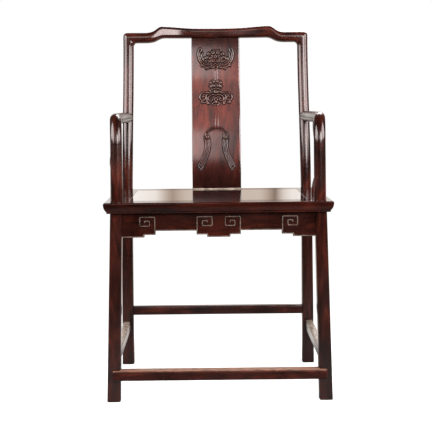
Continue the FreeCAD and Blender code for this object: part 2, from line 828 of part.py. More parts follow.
def make_long_rail_blank(name, outer, way):
    """The front or the rear seat rail, mitred, with a tongue at each end."""
    body = new_body(name)
    inner = outer - way * S.rail_width
    profile = draw_rail(body, "profile", "YZ_Plane", outer, way)
    pad(body, "rail", profile, S.seat_width, midplane=True)
    waste = []
    for side, sign in SIDES:
        corner = [
            (sign * (half_seat + S.overrun), outer + way * S.overrun),
            (sign * (half_seat - S.rail_width - S.overrun), inner - way * S.overrun),
            (sign * (half_seat + S.overrun), inner - way * S.overrun),
        ]
        waste.append(corner)
    mitred(body, waste)
    tongue_mid = frame_under + S.frame_thick / 3
    low_z, high_z = tenon_span(tongue_mid, S.mitre_tongue_thick)
    for side, sign in SIDES:
        root = half_seat - S.rail_width
        tip = root + S.mitre_tongue
        start, end = sign * (root - S.mitre_tongue_width), sign * tip
        low_x, high_x = (start, end) if sign > 0 else (end, start)
        near, far = inner, inner + way * S.mitre_tongue_width
        low_y, high_y = (near, far) if way > 0 else (far, near)
        block(body, "Additive", side + "_tongue", (low_x, low_y, low_z), (high_x, high_y, high_z))
    for side, sign in SIDES:
        low_x, high_x = tenon_span(sign * S.batten_x, S.batten_neck)
        floor = inner + way * S.batten_tenon
        mouth = inner - way * S.rail_width
        low_y, high_y = (mouth, floor) if way > 0 else (floor, mouth)
        top = seat_top - S.board_thick
        low = (low_x, low_y, top - S.batten_deep)
        block(body, "Subtractive", side + "_batten_mortise", low, (high_x, high_y, top))
    return body


def draw_rail(body, name, role, outer, way):
    return rail_profile(sketch_on(body, name, role), outer, way)


def make_side_rail_blank(name, sign):
    body = new_body(name)
    outer = sign * half_seat
    profile = draw_rail(body, "profile", "XZ_Plane", outer, sign)
    rail = body.newObject("PartDesign::Pad", "rail")
    rail.Profile = profile
    rail.SideType = "Two sides"
    rail.Length, rail.Length2 = (-seat_front).value, seat_back.value
    rail.setExpression("Length", (-seat_front).text)
    rail.setExpression("Length2", seat_back.text)
    inner = sign * (half_seat - S.rail_width - S.overrun)
    outside = sign * (half_seat + S.overrun)
    waste = []
    for edge, way in ((seat_front, -1), (seat_back, 1)):
        waste.append([
            (outside, edge + way * S.overrun),
            (inner, edge + way * S.overrun),
            (inner, edge - way * (S.rail_width + S.overrun)),
        ])
    mitred(body, waste)
    centre = (sign * side_post_x, side_post_y())
    low, high = seat_top - S.side_post_tenon, seat_top + S.side_post_tenon
    drill(body, "side_post_hole", centre, low, high, S.side_post_pin)
    return body


def make_seat_board_blank():
    """The floating board: a field flush with the frame and a tongue in its groove."""
    body = new_body("seat_board")
    play = S.board_play
    half_x = half_seat - S.rail_width
    front, back = seat_front + S.rail_width, seat_back - S.rail_width
    low_z = seat_top - S.board_thick
    lip = seat_top - S.board_lip
    low = (-half_x + play, front + play, low_z)
    block(body, "Additive", "field", low, (half_x - play, back - play, seat_top))
    reach = S.board_tongue - play
    low = (-half_x - reach, front - reach, low_z)
    block(body, "Additive", "tongue", low, (half_x + reach, back + reach, lip))
    return body


def make_batten_blank(name, sign):
    """A batten with a dovetail key along its top, which slides into the seat board."""
    body = new_body(name)
    centre = sign * S.batten_x
    board_under = seat_top - S.board_thick
    neck, wide = S.batten_neck / 2, S.batten_width / 2
    corners = [
        (centre - neck, board_under - S.batten_deep),
        (centre + neck, board_under - S.batten_deep),
        (centre + neck, board_under),
        (centre + wide, board_under + S.batten_key),
        (centre - wide, board_under + S.batten_key),
        (centre - neck, board_under),
    ]
    sketch = draw_outline(sketch_on(body, "profile", "XZ_Plane"), corners)
    batten = body.newObject("PartDesign::Pad", "batten")
    batten.Profile = sketch
    batten.SideType = "Two sides"
    front = -(seat_front + S.rail_width - S.batten_tenon)
    back = seat_back - S.rail_width + S.batten_tenon
    batten.Length, batten.Length2 = front.value, back.value
    batten.setExpression("Length", front.text)
    batten.setExpression("Length2", back.text)
    return body


def band_outline(path, width):
    """The outline of a band of one width along a path of level and upright runs."""
    half = width / 2
    ways = []
    for start, end in zip(path, path[1:]):
        step_x, step_z = end[0].value - start[0].value, end[1].value - start[1].value
        length = abs(step_x) + abs(step_z)
        ways.append((round(step_x / length), round(step_z / length)))
    left, right = [], []
    for index, (across, level) in enumerate(path):
        before = ways[max(index - 1, 0)]
        after = ways[min(index, len(ways) - 1)]
        side_x = -after[1] if before == after else -before[1] - after[1]
        side_z = after[0] if before == after else before[0] + after[0]
        left.append((across + half * side_x, level + half * side_z))
        right.append((across - half * side_x, level - half * side_z))
    return right + left[::-1]


def end_band(sign, leg_x, outer_reach):
    """The raised band of an end lobe: along the lower edge, up, and into a square scroll."""
    half = S.band_width / 2
    low = frame_under - S.apron_low + half
    middle = frame_under - S.apron_mid + half
    high = frame_under - S.scroll_drop
    low_x = leg_x - S.lobe_low_reach + half
    mid_x = leg_x - S.lobe_mid_reach + half
    far_x = mid_x + S.scroll_width - S.band_width
    floor = high - S.scroll_height + S.band_width
    core_x = far_x - S.scroll_pitch * 2
    path = [
        (leg_x + outer_reach, low),
        (low_x, low),
        (low_x, middle),
        (mid_x, middle),
        (mid_x, high),
        (far_x, high),
        (far_x, floor),
        (core_x, floor),
        (core_x, floor + S.scroll_core_height),
        (far_x - S.scroll_pitch, floor + S.scroll_core_height),
    ]
    return [(sign * across, level) for across, level in path]


def centre_band():
    """The raised band of the middle lobe: a scroll at each end, joined along the lower edge."""
    half = S.band_width / 2
    low = frame_under - S.apron_low + half
    middle = frame_under - S.apron_mid + half
    high = frame_under - S.scroll_drop
    floor = high - S.scroll_height + S.band_width
    edge = S.centre_mid_half - half
    near = edge - S.scroll_width + S.band_width
    core = near + S.scroll_pitch * 2
    right = [
        (S.centre_low_half - half, low),
        (S.centre_low_half - half, middle),
        (edge, middle),
        (edge, high),
        (near, high),
        (near, floor),
        (core, floor),
        (core, floor + S.scroll_core_height),
        (near + S.scroll_pitch, floor + S.scroll_core_height),
    ]
    return [(-across, level) for across, level in right[::-1]] + right


def thin_band(sign, leg_x, inner_x):
    level = frame_under - S.apron_thin + S.band_width / 2
    outer = leg_x - S.lobe_mid_reach + S.band_width
    return [(sign * inner_x, level), (sign * outer, level)]


def apron_outline(leg_x, with_centre):
    """The apron seen from outside: stepped lobes at the ends and, in front, in the middle."""
    thin = frame_under - S.apron_thin
    middle = frame_under - S.apron_mid
    low = frame_under - S.apron_low
    tongue_end = leg_x - leg_width(thin) / 2 + S.apron_tongue - S.joint_play
    right = [
        (leg_x - S.lobe_mid_reach, thin),
        (leg_x - S.lobe_mid_reach, middle),
        (leg_x - S.lobe_low_reach, middle),
        (leg_x - S.lobe_low_reach, low),
        (tongue_end, low),
    ]
    if with_centre:
        right = [
            (S.centre_low_half, low),
            (S.centre_low_half, middle),
            (S.centre_mid_half, middle),
            (S.centre_mid_half, thin),
        ] + right
    right.append((tongue_end, frame_under))
    return right + [(-across, level) for across, level in right[::-1]]


def make_long_apron_blank(name, middle_y, way, leg_x, scrolls):
    """The front or the rear apron. The front one carries scrolls and a middle lobe."""
    body = new_body(name)
    level = -middle_y
    outline = sketch_on(body, "outline", "XZ_Plane", level)
    draw_outline(outline, apron_outline(leg_x, scrolls))
    pad(body, "board", outline, S.apron_thick, midplane=True)
    if scrolls:
        face = level + S.apron_thick / 2
        bands = [centre_band()]
        for side, sign in SIDES:
            bands.append(end_band(sign, leg_x, as_size(0)))
            bands.append(thin_band(sign, leg_x, S.centre_mid_half - S.band_width))
        for index, path in enumerate(bands):
            sketch = sketch_on(body, "band_" + str(index), "XZ_Plane", face)
            draw_outline(sketch, band_outline(path, S.band_width))
            pad(body, "band_pad_" + str(index), sketch, S.band_proud)
    return body


def make_side_apron_blank(name, sign):
    """A side apron between the front and the rear leg, with an end lobe at each."""
    body = new_body(name)
    offset = sign * side_apron_x
    front_y = seat_front + S.front_top_inset
    middle = between(front_y, back_post_y, 0.5)
    reach = (back_post_y - front_y) / 2
    outline = sketch_on(body, "outline", "YZ_Plane", offset)
    corners = [(across + middle, level) for across, level in apron_outline(reach, False)]
    draw_outline(outline, corners)
    pad(body, "board", outline, S.apron_thick, midplane=True)
    face = offset + sign * S.apron_thick / 2
    thin_start = thin_band(-1, reach, as_size(0))[1]
    thin_end = thin_band(1, reach, as_size(0))[1]
    bands = [[thin_start, thin_end]] + [end_band(way, reach, as_size(0)) for side, way in SIDES]
    for index, band in enumerate(bands):
        path = [(across + middle, level) for across, level in band]
        sketch = sketch_on(body, "band_" + str(index), "YZ_Plane", face)
        draw_outline(sketch, band_outline(path, S.band_width))
        pad(body, "band_pad_" + str(index), sketch, S.band_proud, backwards=sign < 0)
    return body


def stretcher_corners(centre, middle, thick):
    return rounded_corners(centre, middle, thick, S.stretcher_height, S.stretcher_round)


def make_cross_stretcher_blank(name, underside, across, along):
    """A stretcher that runs from left to right."""
    body = new_body(name)
    middle = underside + S.stretcher_height / 2
    half_length = across(middle) - leg_width(middle) / 2 + S.stretcher_tenon - S.joint_play
    sketch = sketch_on(body, "profile", "YZ_Plane")
    draw_outline(sketch, stretcher_corners(along(middle), middle, S.stretcher_thick))
    pad(body, "bar", sketch, half_length * 2, midplane=True)
    return body


def make_side_stretcher_blank(name, sign):
    body = new_body(name)
    underside = S.front_stretcher_z + S.stretcher_step
    middle = underside + S.stretcher_height / 2
    centre = sign * between(front_leg_x(middle), rear_leg_x(middle), 0.5)
    sketch = sketch_on(body, "profile", "XZ_Plane")
    draw_outline(sketch, stretcher_corners(centre, middle, S.stretcher_thick))
    half = leg_width(middle) / 2 - S.stretcher_tenon + S.joint_play
    bar = body.newObject("PartDesign::Pad", "bar")
    bar.Profile = sketch
    bar.SideType = "Two sides"
    front = -(front_leg_y(middle) + half)
    back = rear_leg_y(middle) - half
    bar.Length, bar.Length2 = front.value, back.value
    bar.setExpression("Length", front.text)
    bar.setExpression("Length2", back.text)
    return body


def make_foot_rail_blank():
    """The front stretcher, which feet rest on: it stands proud of the legs and laps over them."""
    body = new_body("foot_rail")
    underside = S.front_stretcher_z
    middle = underside + S.stretcher_height / 2
    leg_face = front_leg_y(middle) - leg_width(middle) / 2
    inner_face = front_leg_x(middle) - leg_width(middle) / 2
    front = leg_face - S.foot_rail_proud
    back = leg_face + S.foot_rail_back
    sketch = sketch_on(body, "profile", "YZ_Plane")
    draw_outline(sketch, stretcher_corners((front + back) / 2, middle, back - front))
    pad(body, "bar", sketch, (inner_face + S.foot_rail_lap) * 2, midplane=True)
    tenon_end = inner_face + S.stretcher_tenon - S.joint_play
    lap_end = inner_face + S.foot_rail_lap
    for side, sign in SIDES:
        beyond, inside = sign * (lap_end + S.overrun), sign * tenon_end
        low_x, high_x = (inside, beyond) if sign > 0 else (beyond, inside)
        low = (low_x, leg_face, underside - S.overrun)
        block(body, "Subtractive", side + "_waste", low, (high_x, back + S.overrun, underside + S.overrun))
        round_end = S.foot_rail_lap_round
        corners = [
            (lap_end, front + round_end),
            (lap_end + S.overrun, front + round_end),
            (lap_end + S.overrun, front - S.overrun),
            (lap_end - round_end, front - S.overrun),
            (lap_end - round_end, front, round_end),
        ]
        if sign < 0:
            corners = [(-corner[0], corner[1]) for corner in corners]
            corners = [corners[0][:2] + (round_end,)] + corners[:0:-1]
        outline = draw_outline(sketch_on(body, side + "_lap_outline", "XY_Plane"), corners)
        pocket_through(body, side + "_lap_end", outline)
    return body


def build():
    pieces = {}
    legs = {}
    for side, sign in SIDES:
        name = side + "_front_leg"
        pieces[name] = legs[side, "front"] = make_front_leg(name, sign)
        name = side + "_rear_leg"
        pieces[name] = legs[side, "rear"] = make_rear_leg(name, sign)
    all_legs = list(legs.values())
    rear_legs = [legs["left", "rear"], legs["right", "rear"]]
    front_legs = [legs["left", "front"], legs["right", "front"]]

    front_blank = make_long_rail_blank("front_seat_rail", seat_front, -1)
    pieces["front_seat_rail"] = trimmed("front_seat_rail", front_blank, front_legs)
    rear_blank = make_long_rail_blank("rear_seat_rail", seat_back, 1)
    low_x, high_x = tenon_span(as_size(0), S.splat_tenon_width)
    low_y, high_y = tenon_span(back_post_y, S.splat_tenon_thick)
    low = (low_x, low_y, seat_top - S.splat_tenon)
    block(rear_blank, "Subtractive", "splat_slot", low, (high_x, high_y, seat_top + S.splat_tenon))
    pieces["rear_seat_rail"] = trimmed("rear_seat_rail", rear_blank, rear_legs)
    long_rails = [pieces["front_seat_rail"], pieces["rear_seat_rail"]]
    for side, sign in SIDES:
        name = side + "_seat_rail"
        neighbours = long_rails + [legs[side, "front"], legs[side, "rear"]]
        pieces[name] = trimmed(name, make_side_rail_blank(name, sign), neighbours)

    battens = []
    for side, sign in SIDES:
        name = side + "_seat_batten"
        pieces[name] = trimmed(name, make_batten_blank(name, sign), long_rails)
        battens.append(pieces[name])
    pieces["seat_board"] = trimmed("seat_board", make_seat_board_blank(), battens)

    pieces["crest_rail"] = trimmed("crest_rail", make_crest_blank(), rear_legs)
    splat_neighbours = [pieces["rear_seat_rail"], pieces["crest_rail"]]
    pieces["back_splat"] = trimmed("back_splat", make_splat_blank(), splat_neighbours)
    for side, sign in SIDES:
        name = side + "_arm"
        pieces[name] = trimmed(name, make_arm_blank(name, sign), [legs[side, "front"], legs[side, "rear"]])
        post = side + "_side_post"
        post_neighbours = [pieces[side + "_seat_rail"], pieces[name]]
        pieces[post] = trimmed(post, make_side_post_blank(post, sign), post_neighbours)

    front_apron = make_long_apron_blank("front_apron", front_apron_y, -1, front_top_x, True)
    pieces["front_apron"] = trimmed("front_apron", front_apron, front_legs)
    rear_apron = make_long_apron_blank("rear_apron", rear_apron_y, 1, rear_top_x, False)
    pieces["rear_apron"] = trimmed("rear_apron", rear_apron, rear_legs)
    for side, sign in SIDES:
        name = side + "_apron"
        neighbours = [legs[side, "front"], legs[side, "rear"]]
        pieces[name] = trimmed(name, make_side_apron_blank(name, sign), neighbours)
        name = side + "_stretcher"
        pieces[name] = trimmed(name, make_side_stretcher_blank(name, sign), neighbours)

    pieces["foot_rail"] = trimmed("foot_rail", make_foot_rail_blank(), front_legs)
    rear_z = S.front_stretcher_z + S.stretcher_step * 2
    rear_stretcher = make_cross_stretcher_blank("rear_stretcher", rear_z, rear_leg_x, rear_leg_y)
    pieces["rear_stretcher"] = trimmed("rear_stretcher", rear_stretcher, rear_legs)
    return pieces


pieces = build()
doc.recompute()

failed = [item.Name for item in doc.Objects if set(item.State) & {"Invalid", "Error"}]
if failed:
    raise RuntimeError("these features failed: " + ", ".join(failed))
os.makedirs("parts", exist_ok=True)
for name, piece in pieces.items():
    shape = piece.Shape
    if shape.isNull() or not shape.isValid():
        raise RuntimeError(name + " has no valid shape")
    if len(shape.Solids) != 1:
        raise RuntimeError(name + " is made of " + str(len(shape.Solids)) + " solids")
for name, piece in pieces.items():
    piece.Shape.exportStep("parts/" + name + ".step")
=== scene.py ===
import math

import bpy
import numpy as np
from mathutils import Matrix, Vector

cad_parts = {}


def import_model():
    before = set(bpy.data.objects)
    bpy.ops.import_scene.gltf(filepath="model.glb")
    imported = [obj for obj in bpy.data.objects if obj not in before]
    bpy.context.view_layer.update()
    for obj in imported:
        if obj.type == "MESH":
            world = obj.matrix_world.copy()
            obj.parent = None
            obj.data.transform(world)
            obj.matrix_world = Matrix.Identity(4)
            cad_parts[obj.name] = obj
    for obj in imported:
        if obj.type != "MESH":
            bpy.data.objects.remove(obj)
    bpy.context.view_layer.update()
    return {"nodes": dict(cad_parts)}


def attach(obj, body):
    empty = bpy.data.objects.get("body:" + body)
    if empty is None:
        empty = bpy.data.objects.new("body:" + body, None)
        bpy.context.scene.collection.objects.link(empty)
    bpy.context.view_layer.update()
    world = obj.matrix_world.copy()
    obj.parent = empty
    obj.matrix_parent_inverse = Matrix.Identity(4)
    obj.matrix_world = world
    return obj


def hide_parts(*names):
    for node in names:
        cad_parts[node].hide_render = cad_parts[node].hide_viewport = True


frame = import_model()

MM = 0.001
QUARTER = math.pi / 2
SIDES = (("left", -1), ("right", 1))

# Sizes of the chair in millimetres, the same as in the part's source.
SEAT_TOP = 511.0
FRAME_UNDER = 483.0
HALF_SEAT = 288.5
SEAT_FRONT = -260.0
SEAT_BACK = 201.5
RAIL_WIDTH = 62.0
EDGE_ROUND = 4.0
FOOT_WIDTH = 34.0
LEG_TOP_WIDTH = 30.6
LEG_CORNER = 5.0
NECK_WIDTH = 20.0
FRONT_FOOT_X = 271.4
FRONT_FOOT_Y = -230.0
FRONT_TOP_X = 257.8
FRONT_TOP_Y = -226.8
FRONT_POST_X = 256.8
FRONT_POST_WIDTH = 31.0
FRONT_JOINT_X = 255.5
FRONT_JOINT_Y = -225.0
REAR_FOOT_X = 263.3
REAR_TOP_X = 258.5
REAR_FOOT_SETBACK = 9.5
BACK_POST_X = 257.0
BACK_POST_Y = 172.0
BACK_POST_WIDTH = 30.0
BACK_RAKE = 51.0
POST_BEND_RISE = 414.0
LOWER_BOW_SHARE = 0.55
CREST_TOP = 961.0
CREST_END_HEIGHT = 30.0
CREST_OUTER = 266.0
CREST_DEEP = 30.0
CREST_BOW = 22.0
CREST_HUMP_X = 149.0
CREST_STEP_X = 189.0
SHOULDER_ROUND = 11.0
SPLAT_WIDTH = 140.0
SPLAT_THICK = 11.0
SPLAT_EDGE = 1.6
SPLAT_RISE = 434.4
SPLAT_RAKE = 73.0
ARM_MID = 718.1
ARM_WIDTH = 29.8
ARM_BEND = 62.0
ARM_BEND_X = 260.8
ARM_JOINT = 656.1
SIDE_POST_X = 264.0
SIDE_POST_BULGE = 15.5
SIDE_POST_HEAD_SHIFT = 1.5
SIDE_POST_FOOT_WIDTH = 21.0
SIDE_POST_HEAD_WIDTH = 17.0
SIDE_POST_STRAIGHT = 14.0
APRON_THICK = 18.0
FRONT_APRON_Y = -229.1
REAR_APRON_Y = 174.3
SIDE_APRON_X = 260.1
APRON_THIN = 438.0
APRON_MIDDLE = 428.0
APRON_LOW = 421.5
LOBE_LOW_REACH = 70.3
LOBE_MID_REACH = 98.6
CENTRE_LOW_HALF = 29.5
CENTRE_MID_HALF = 56.0
BAND_WIDTH = 3.2
BAND_PROUD = 2.0
SCROLL_WIDTH = 41.0
SCROLL_HEIGHT = 26.0
SCROLL_DROP = 10.0
SCROLL_PITCH = 12.2
SCROLL_CORE_HEIGHT = 13.0
SCROLL_TAIL = 4.5
STRETCHER_HEIGHT = 26.0
STRETCHER_THICK = 22.0
STRETCHER_ROUND = 5.0
FOOT_RAIL_Z = 57.0
STRETCHER_STEP = 44.0
FOOT_RAIL_PROUD = 12.0
FOOT_RAIL_BACK = 24.0
FOOT_RAIL_LAP = 21.0
LAP_ROUND = 8.0

CORNER_LOW = CREST_TOP - CREST_END_HEIGHT
CREST_INNER = CREST_OUTER - CREST_END_HEIGHT
CREST_POST_X = CREST_OUTER - CREST_END_HEIGHT / 2

# Roundings in millimetres that the scene chooses for itself.
FOOT_EASE = 1.2
POST_ROUND = 14.2
CREST_ROUND = 9.5
INNER_ROUND = 8.0
APRON_EASE = 0.9
BAND_BEND = 3.4
FOOT_RAIL_ROUND = 5.5


# Mesh helpers

def added(name, data):
    """A new object in the scene."""
    made = bpy.data.objects.new(name, data)
    bpy.context.scene.collection.objects.link(made)
    return made


def new_piece(replaced, points, faces, grain, material, slot="dark_hardwood", sharp=40.0, **marks):
    """The mesh piece that replaces a node, from points in millimetres. Its grain attribute runs
    along the wood in its third value. Each mark is 0 to 1 at every point: worn is pale wear, partly a
    painted highlight, and recess_shade_mask is painted shade."""
    name = replaced + "_wood"
    mesh = bpy.data.meshes.new(name)
    mesh.from_pydata((np.asarray(points) * MM).tolist(), [], faces)
    mesh.validate()
    mesh.update()
    layer = mesh.attributes.new("grain", "FLOAT_VECTOR", "POINT")
    layer.data.foreach_set("vector", (np.asarray(grain) * MM).astype(np.float32).ravel())
    for mark, values in marks.items():
        layer = mesh.attributes.new(mark, "FLOAT", "POINT")
        layer.data.foreach_set("value", np.asarray(values).astype(np.float32).ravel())
    mesh.shade_smooth()
    mesh.set_sharp_from_angle(angle=math.radians(sharp))
    mesh.materials.append(material)
    piece = added(name, mesh)
    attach(piece, "root")
    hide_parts(replaced)


def turned_over(faces):
    return [face[::-1] for face in faces]


def between(start, end, share):
    return start + (end - start) * share


def smooth(share):
    share = np.clip(share, 0, 1)
    return share * share * (3 - 2 * share)


def rounded(width, deep, corner, steps=6):
    """A rectangle with rounded corners, as points round it, centred on zero. A point just past
    each end of a corner keeps the flats flat in smooth shading."""
    corner = min(corner, width / 2 - 1e-3, deep / 2 - 1e-3)
    flats = np.array([width / 2 - corner, deep / 2 - corner])
    past = np.minimum(0.5, flats) * 0.9
    points = []
    for index, ways in enumerate(((1, 1), (-1, 1), (-1, -1), (1, -1))):
        turns = QUARTER * (index + np.linspace(0, 1, steps + 1))
        arc = ways * flats + corner * np.column_stack([np.cos(turns), np.sin(turns)])
        first, last = np.diag(ways * past)[::1 if index % 2 else -1]
        points += [arc[0] - first, *arc, arc[-1] - last]
    return np.array(points)


def circle(width, steps=32):
    turns = np.linspace(0, 2 * math.pi, steps, endpoint=False)
    return np.column_stack([np.cos(turns), np.sin(turns)]) * width / 2


def level_ring(across, along, level, section):
    """A section laid level, as the ring of an upright piece, and the section."""
    flat = np.full(len(section), level)
    return np.column_stack([across + section[:, 0], along + section[:, 1], flat]), section


def upright_ring(across, along, level, section):
    """A section set upright, as the ring of a piece that runs from left to right."""
    flat = np.full(len(section), across)
    return np.column_stack([flat, along + section[:, 0], level + section[:, 1]]), section


def swept(rings, start=0.0, shift=0.0):
    """Points, faces and grain of a closed skin through rings, each with its flat section. The
    shift moves the pattern of the grain, so that no two pieces look alike."""
    rings, sections = (np.array(values, float) for values in zip(*rings))
    count, around = rings.shape[:2]
    gaps = np.linalg.norm(np.diff(rings.mean(axis=1), axis=0), axis=1)
    along = np.concatenate([[0], np.cumsum(gaps)]) + start
    along = np.broadcast_to(along[:, None, None], (count, around, 1))
    grain = np.concatenate([sections + shift, along], axis=2)
    faces = []
    for ring in range(count - 1):
        low, high = ring * around, (ring + 1) * around
        for step in range(around):
            after = (step + 1) % around
            faces.append((low + step, low + after, high + after, high + step))
    faces.append(tuple(range(around))[::-1])
    faces.append(tuple(range((count - 1) * around, count * around)))
    return rings.reshape(-1, 3), faces, grain.reshape(-1, 3)


def joined(parts):
    """One mesh from several lots of points, faces and grain."""
    all_points, all_faces, all_grain, first = [], [], [], 0
    for points, faces, grain in parts:
        all_points.append(points)
        all_grain.append(grain)
        all_faces += [tuple(first + corner for corner in face) for face in faces]
        first += len(points)
    return np.concatenate(all_points), all_faces, np.concatenate(all_grain)


def curve_through(places, values, at):
    """A smooth curve without overshoot through the given values."""
    places, values, at = (np.asarray(numbers, float) for numbers in (places, values, at))
    gaps = np.diff(places)
    slopes = np.diff(values) / gaps
    bends = np.zeros_like(values)
    bends[0], bends[-1] = slopes[0], slopes[-1]
    for index in range(1, len(values) - 1):
        before, after = slopes[index - 1], slopes[index]
        if before * after > 0:
            bends[index] = 2 * before * after / (before + after)
    spans = np.clip(np.searchsorted(places, at) - 1, 0, len(gaps) - 1)
    gap = gaps[spans]
    share = (at - places[spans]) / gap
    return (
        values[spans] * (1 + 2 * share) * (1 - share) ** 2
        + values[spans + 1] * share ** 2 * (3 - 2 * share)
        + bends[spans] * gap * share * (1 - share) ** 2
        - bends[spans + 1] * gap * share ** 2 * (1 - share)
    )


# Shared curves of the chair

def bow_radius(rake, rise, share):
    """Radius of one of the two arcs of an S that starts and ends upright."""
    return (rake * rake + rise * rise) * share / (rake * 2)


def rake_at(rake, rise, height):
    """How far back an S-curved piece stands at a height above its foot."""
    lower = bow_radius(rake, rise, LOWER_BOW_SHARE)
    upper = bow_radius(rake, rise, 1 - LOWER_BOW_SHARE)
    height = min(max(height, 0.0), rise)
    if height < rise * LOWER_BOW_SHARE:
        return lower - math.sqrt(lower ** 2 - height ** 2)
    return rake - upper + math.sqrt(upper ** 2 - (rise - height) ** 2)


def back_post_at(height):
    """The middle of the right back post at a height above the seat."""
    across = between(BACK_POST_X, CREST_POST_X, min(height / POST_BEND_RISE, 1.0))
    return across, BACK_POST_Y + rake_at(BACK_RAKE, POST_BEND_RISE, height)


def leg_place(front, height):
    """The middle of the right front or rear leg at a height, and the leg's width there."""
    share = height / FRAME_UNDER
    width = between(FOOT_WIDTH, LEG_TOP_WIDTH, share)
    if front:
        return between(FRONT_FOOT_X, FRONT_TOP_X, share), between(FRONT_FOOT_Y, FRONT_TOP_Y, share), width
    return between(REAR_FOOT_X, REAR_TOP_X, share), BACK_POST_Y + REAR_FOOT_SETBACK * (1 - share), width


# Materials

# Dark, middle and light colours of the woods, the colours of wear (the pale wear is partly a painted
# highlight), and the painted shade in the carving's recesses.
PLAIN = ((0.010, 0.0021, 0.0014), (0.027, 0.0048, 0.0027), (0.066, 0.0115, 0.0060))
# A darker copy of the plain wood: on the aprons under the seat it is painted shade; the seat rails use it
# too.
DARKER = (PLAIN[0], (0.019, 0.0034, 0.0018), (0.046, 0.0080, 0.0040))
BOARD = ((0.040, 0.0076, 0.0048), (0.082, 0.0150, 0.0088), (0.150, 0.0290, 0.0150))
SEAT = (PLAIN[0], PLAIN[0], PLAIN[1])
WORN = (0.34, 0.165, 0.105)
# Pale wear that is partly a painted highlight on raised crowns and upper edges.
PALE_WEAR_AND_HIGHLIGHT = (0.52, 0.42, 0.34)
# Painted shade in the carving's recesses.
PAINTED_RECESS_SHADE = (0.0045, 0.0015, 0.0012)
WHITE = (1.0, 1.0, 1.0)
GLOSS_TINT = (1.0, 0.88, 0.86)

# How often each pattern of the wood repeats in a metre, along each axis.
STREAKS = (30, 30, 7)
FIGURE = (110, 110, 13)
PORES = (900, 900, 26)
CLOUDS = (11, 11, 8)
PATCHES = (70, 70, 70)
WAVES = (17, 17, 12)
PORE_DEPTH = 0.000015
SUNK_ROUGHNESS = 0.8
GRAIN_TURNS = {"x": (0, QUARTER, 0), "y": (QUARTER, 0, 0)}


def fill(tree, made, inputs):
    """Gives a node's inputs numbers, vectors, colours or links."""
    for key, value in inputs.items():
        socket = made.inputs[key]
        if isinstance(value, bpy.types.NodeSocket):
            tree.links.new(value, socket)
        else:
            socket.default_value = (*value, 1.0) if socket.type == "RGBA" else value


def node(tree, kind, inputs=None, **settings):
    made = tree.nodes.new(kind)
    for key, value in settings.items():
        setattr(made, key, value)
    fill(tree, made, inputs or {})
    return made


def ramp(tree, source, stops):
    made = node(tree, "ShaderNodeValToRGB", {"Fac": source})
    elements = made.color_ramp.elements
    elements.remove(elements[1])
    elements[0].position = stops[0][0]
    elements[0].color = (*stops[0][1], 1.0)
    for place, colour in stops[1:]:
        elements.new(place).color = (*colour, 1.0)
    return made.outputs["Color"]


def remap(tree, source, low, high, to_low, to_high):
    limits = {"From Min": low, "From Max": high, "To Min": to_low, "To Max": to_high}
    return node(tree, "ShaderNodeMapRange", {"Value": source, **limits}).outputs["Result"]


def colour_mix(tree, factor, first, second, blend="MIX"):
    inputs = {0: factor, 6: first, 7: second}
    return node(tree, "ShaderNodeMix", inputs, data_type="RGBA", blend_type=blend).outputs[2]


def maths(tree, kind, first, second):
    """The result of a Math node on two values, each a socket or a number."""
    return node(tree, "ShaderNodeMath", {0: first, 1: second}, operation=kind).outputs[0]


def noise(tree, coordinates, scale, detail=4.0, roughness=0.55, distortion=0.0):
    places = node(tree, "ShaderNodeMapping", {"Vector": coordinates, "Scale": scale}).outputs["Vector"]
    inputs = {"Vector": places, "Scale": 1.0, "Detail": detail, "Roughness": roughness}
    return node(tree, "ShaderNodeTexNoise", {**inputs, "Distortion": distortion}).outputs["Fac"]


def attribute(tree, name, output="Fac"):
    return node(tree, "ShaderNodeAttribute", attribute_name=name).outputs[output]


def part_of(tree, places, axis):
    return node(tree, "ShaderNodeSeparateXYZ", {"Vector": places}).outputs[axis]


def bump(tree, height, strength, distance, **normal):
    inputs = {"Height": height, "Strength": strength, "Distance": distance, **normal}
    return node(tree, "ShaderNodeBump", inputs).outputs["Normal"]


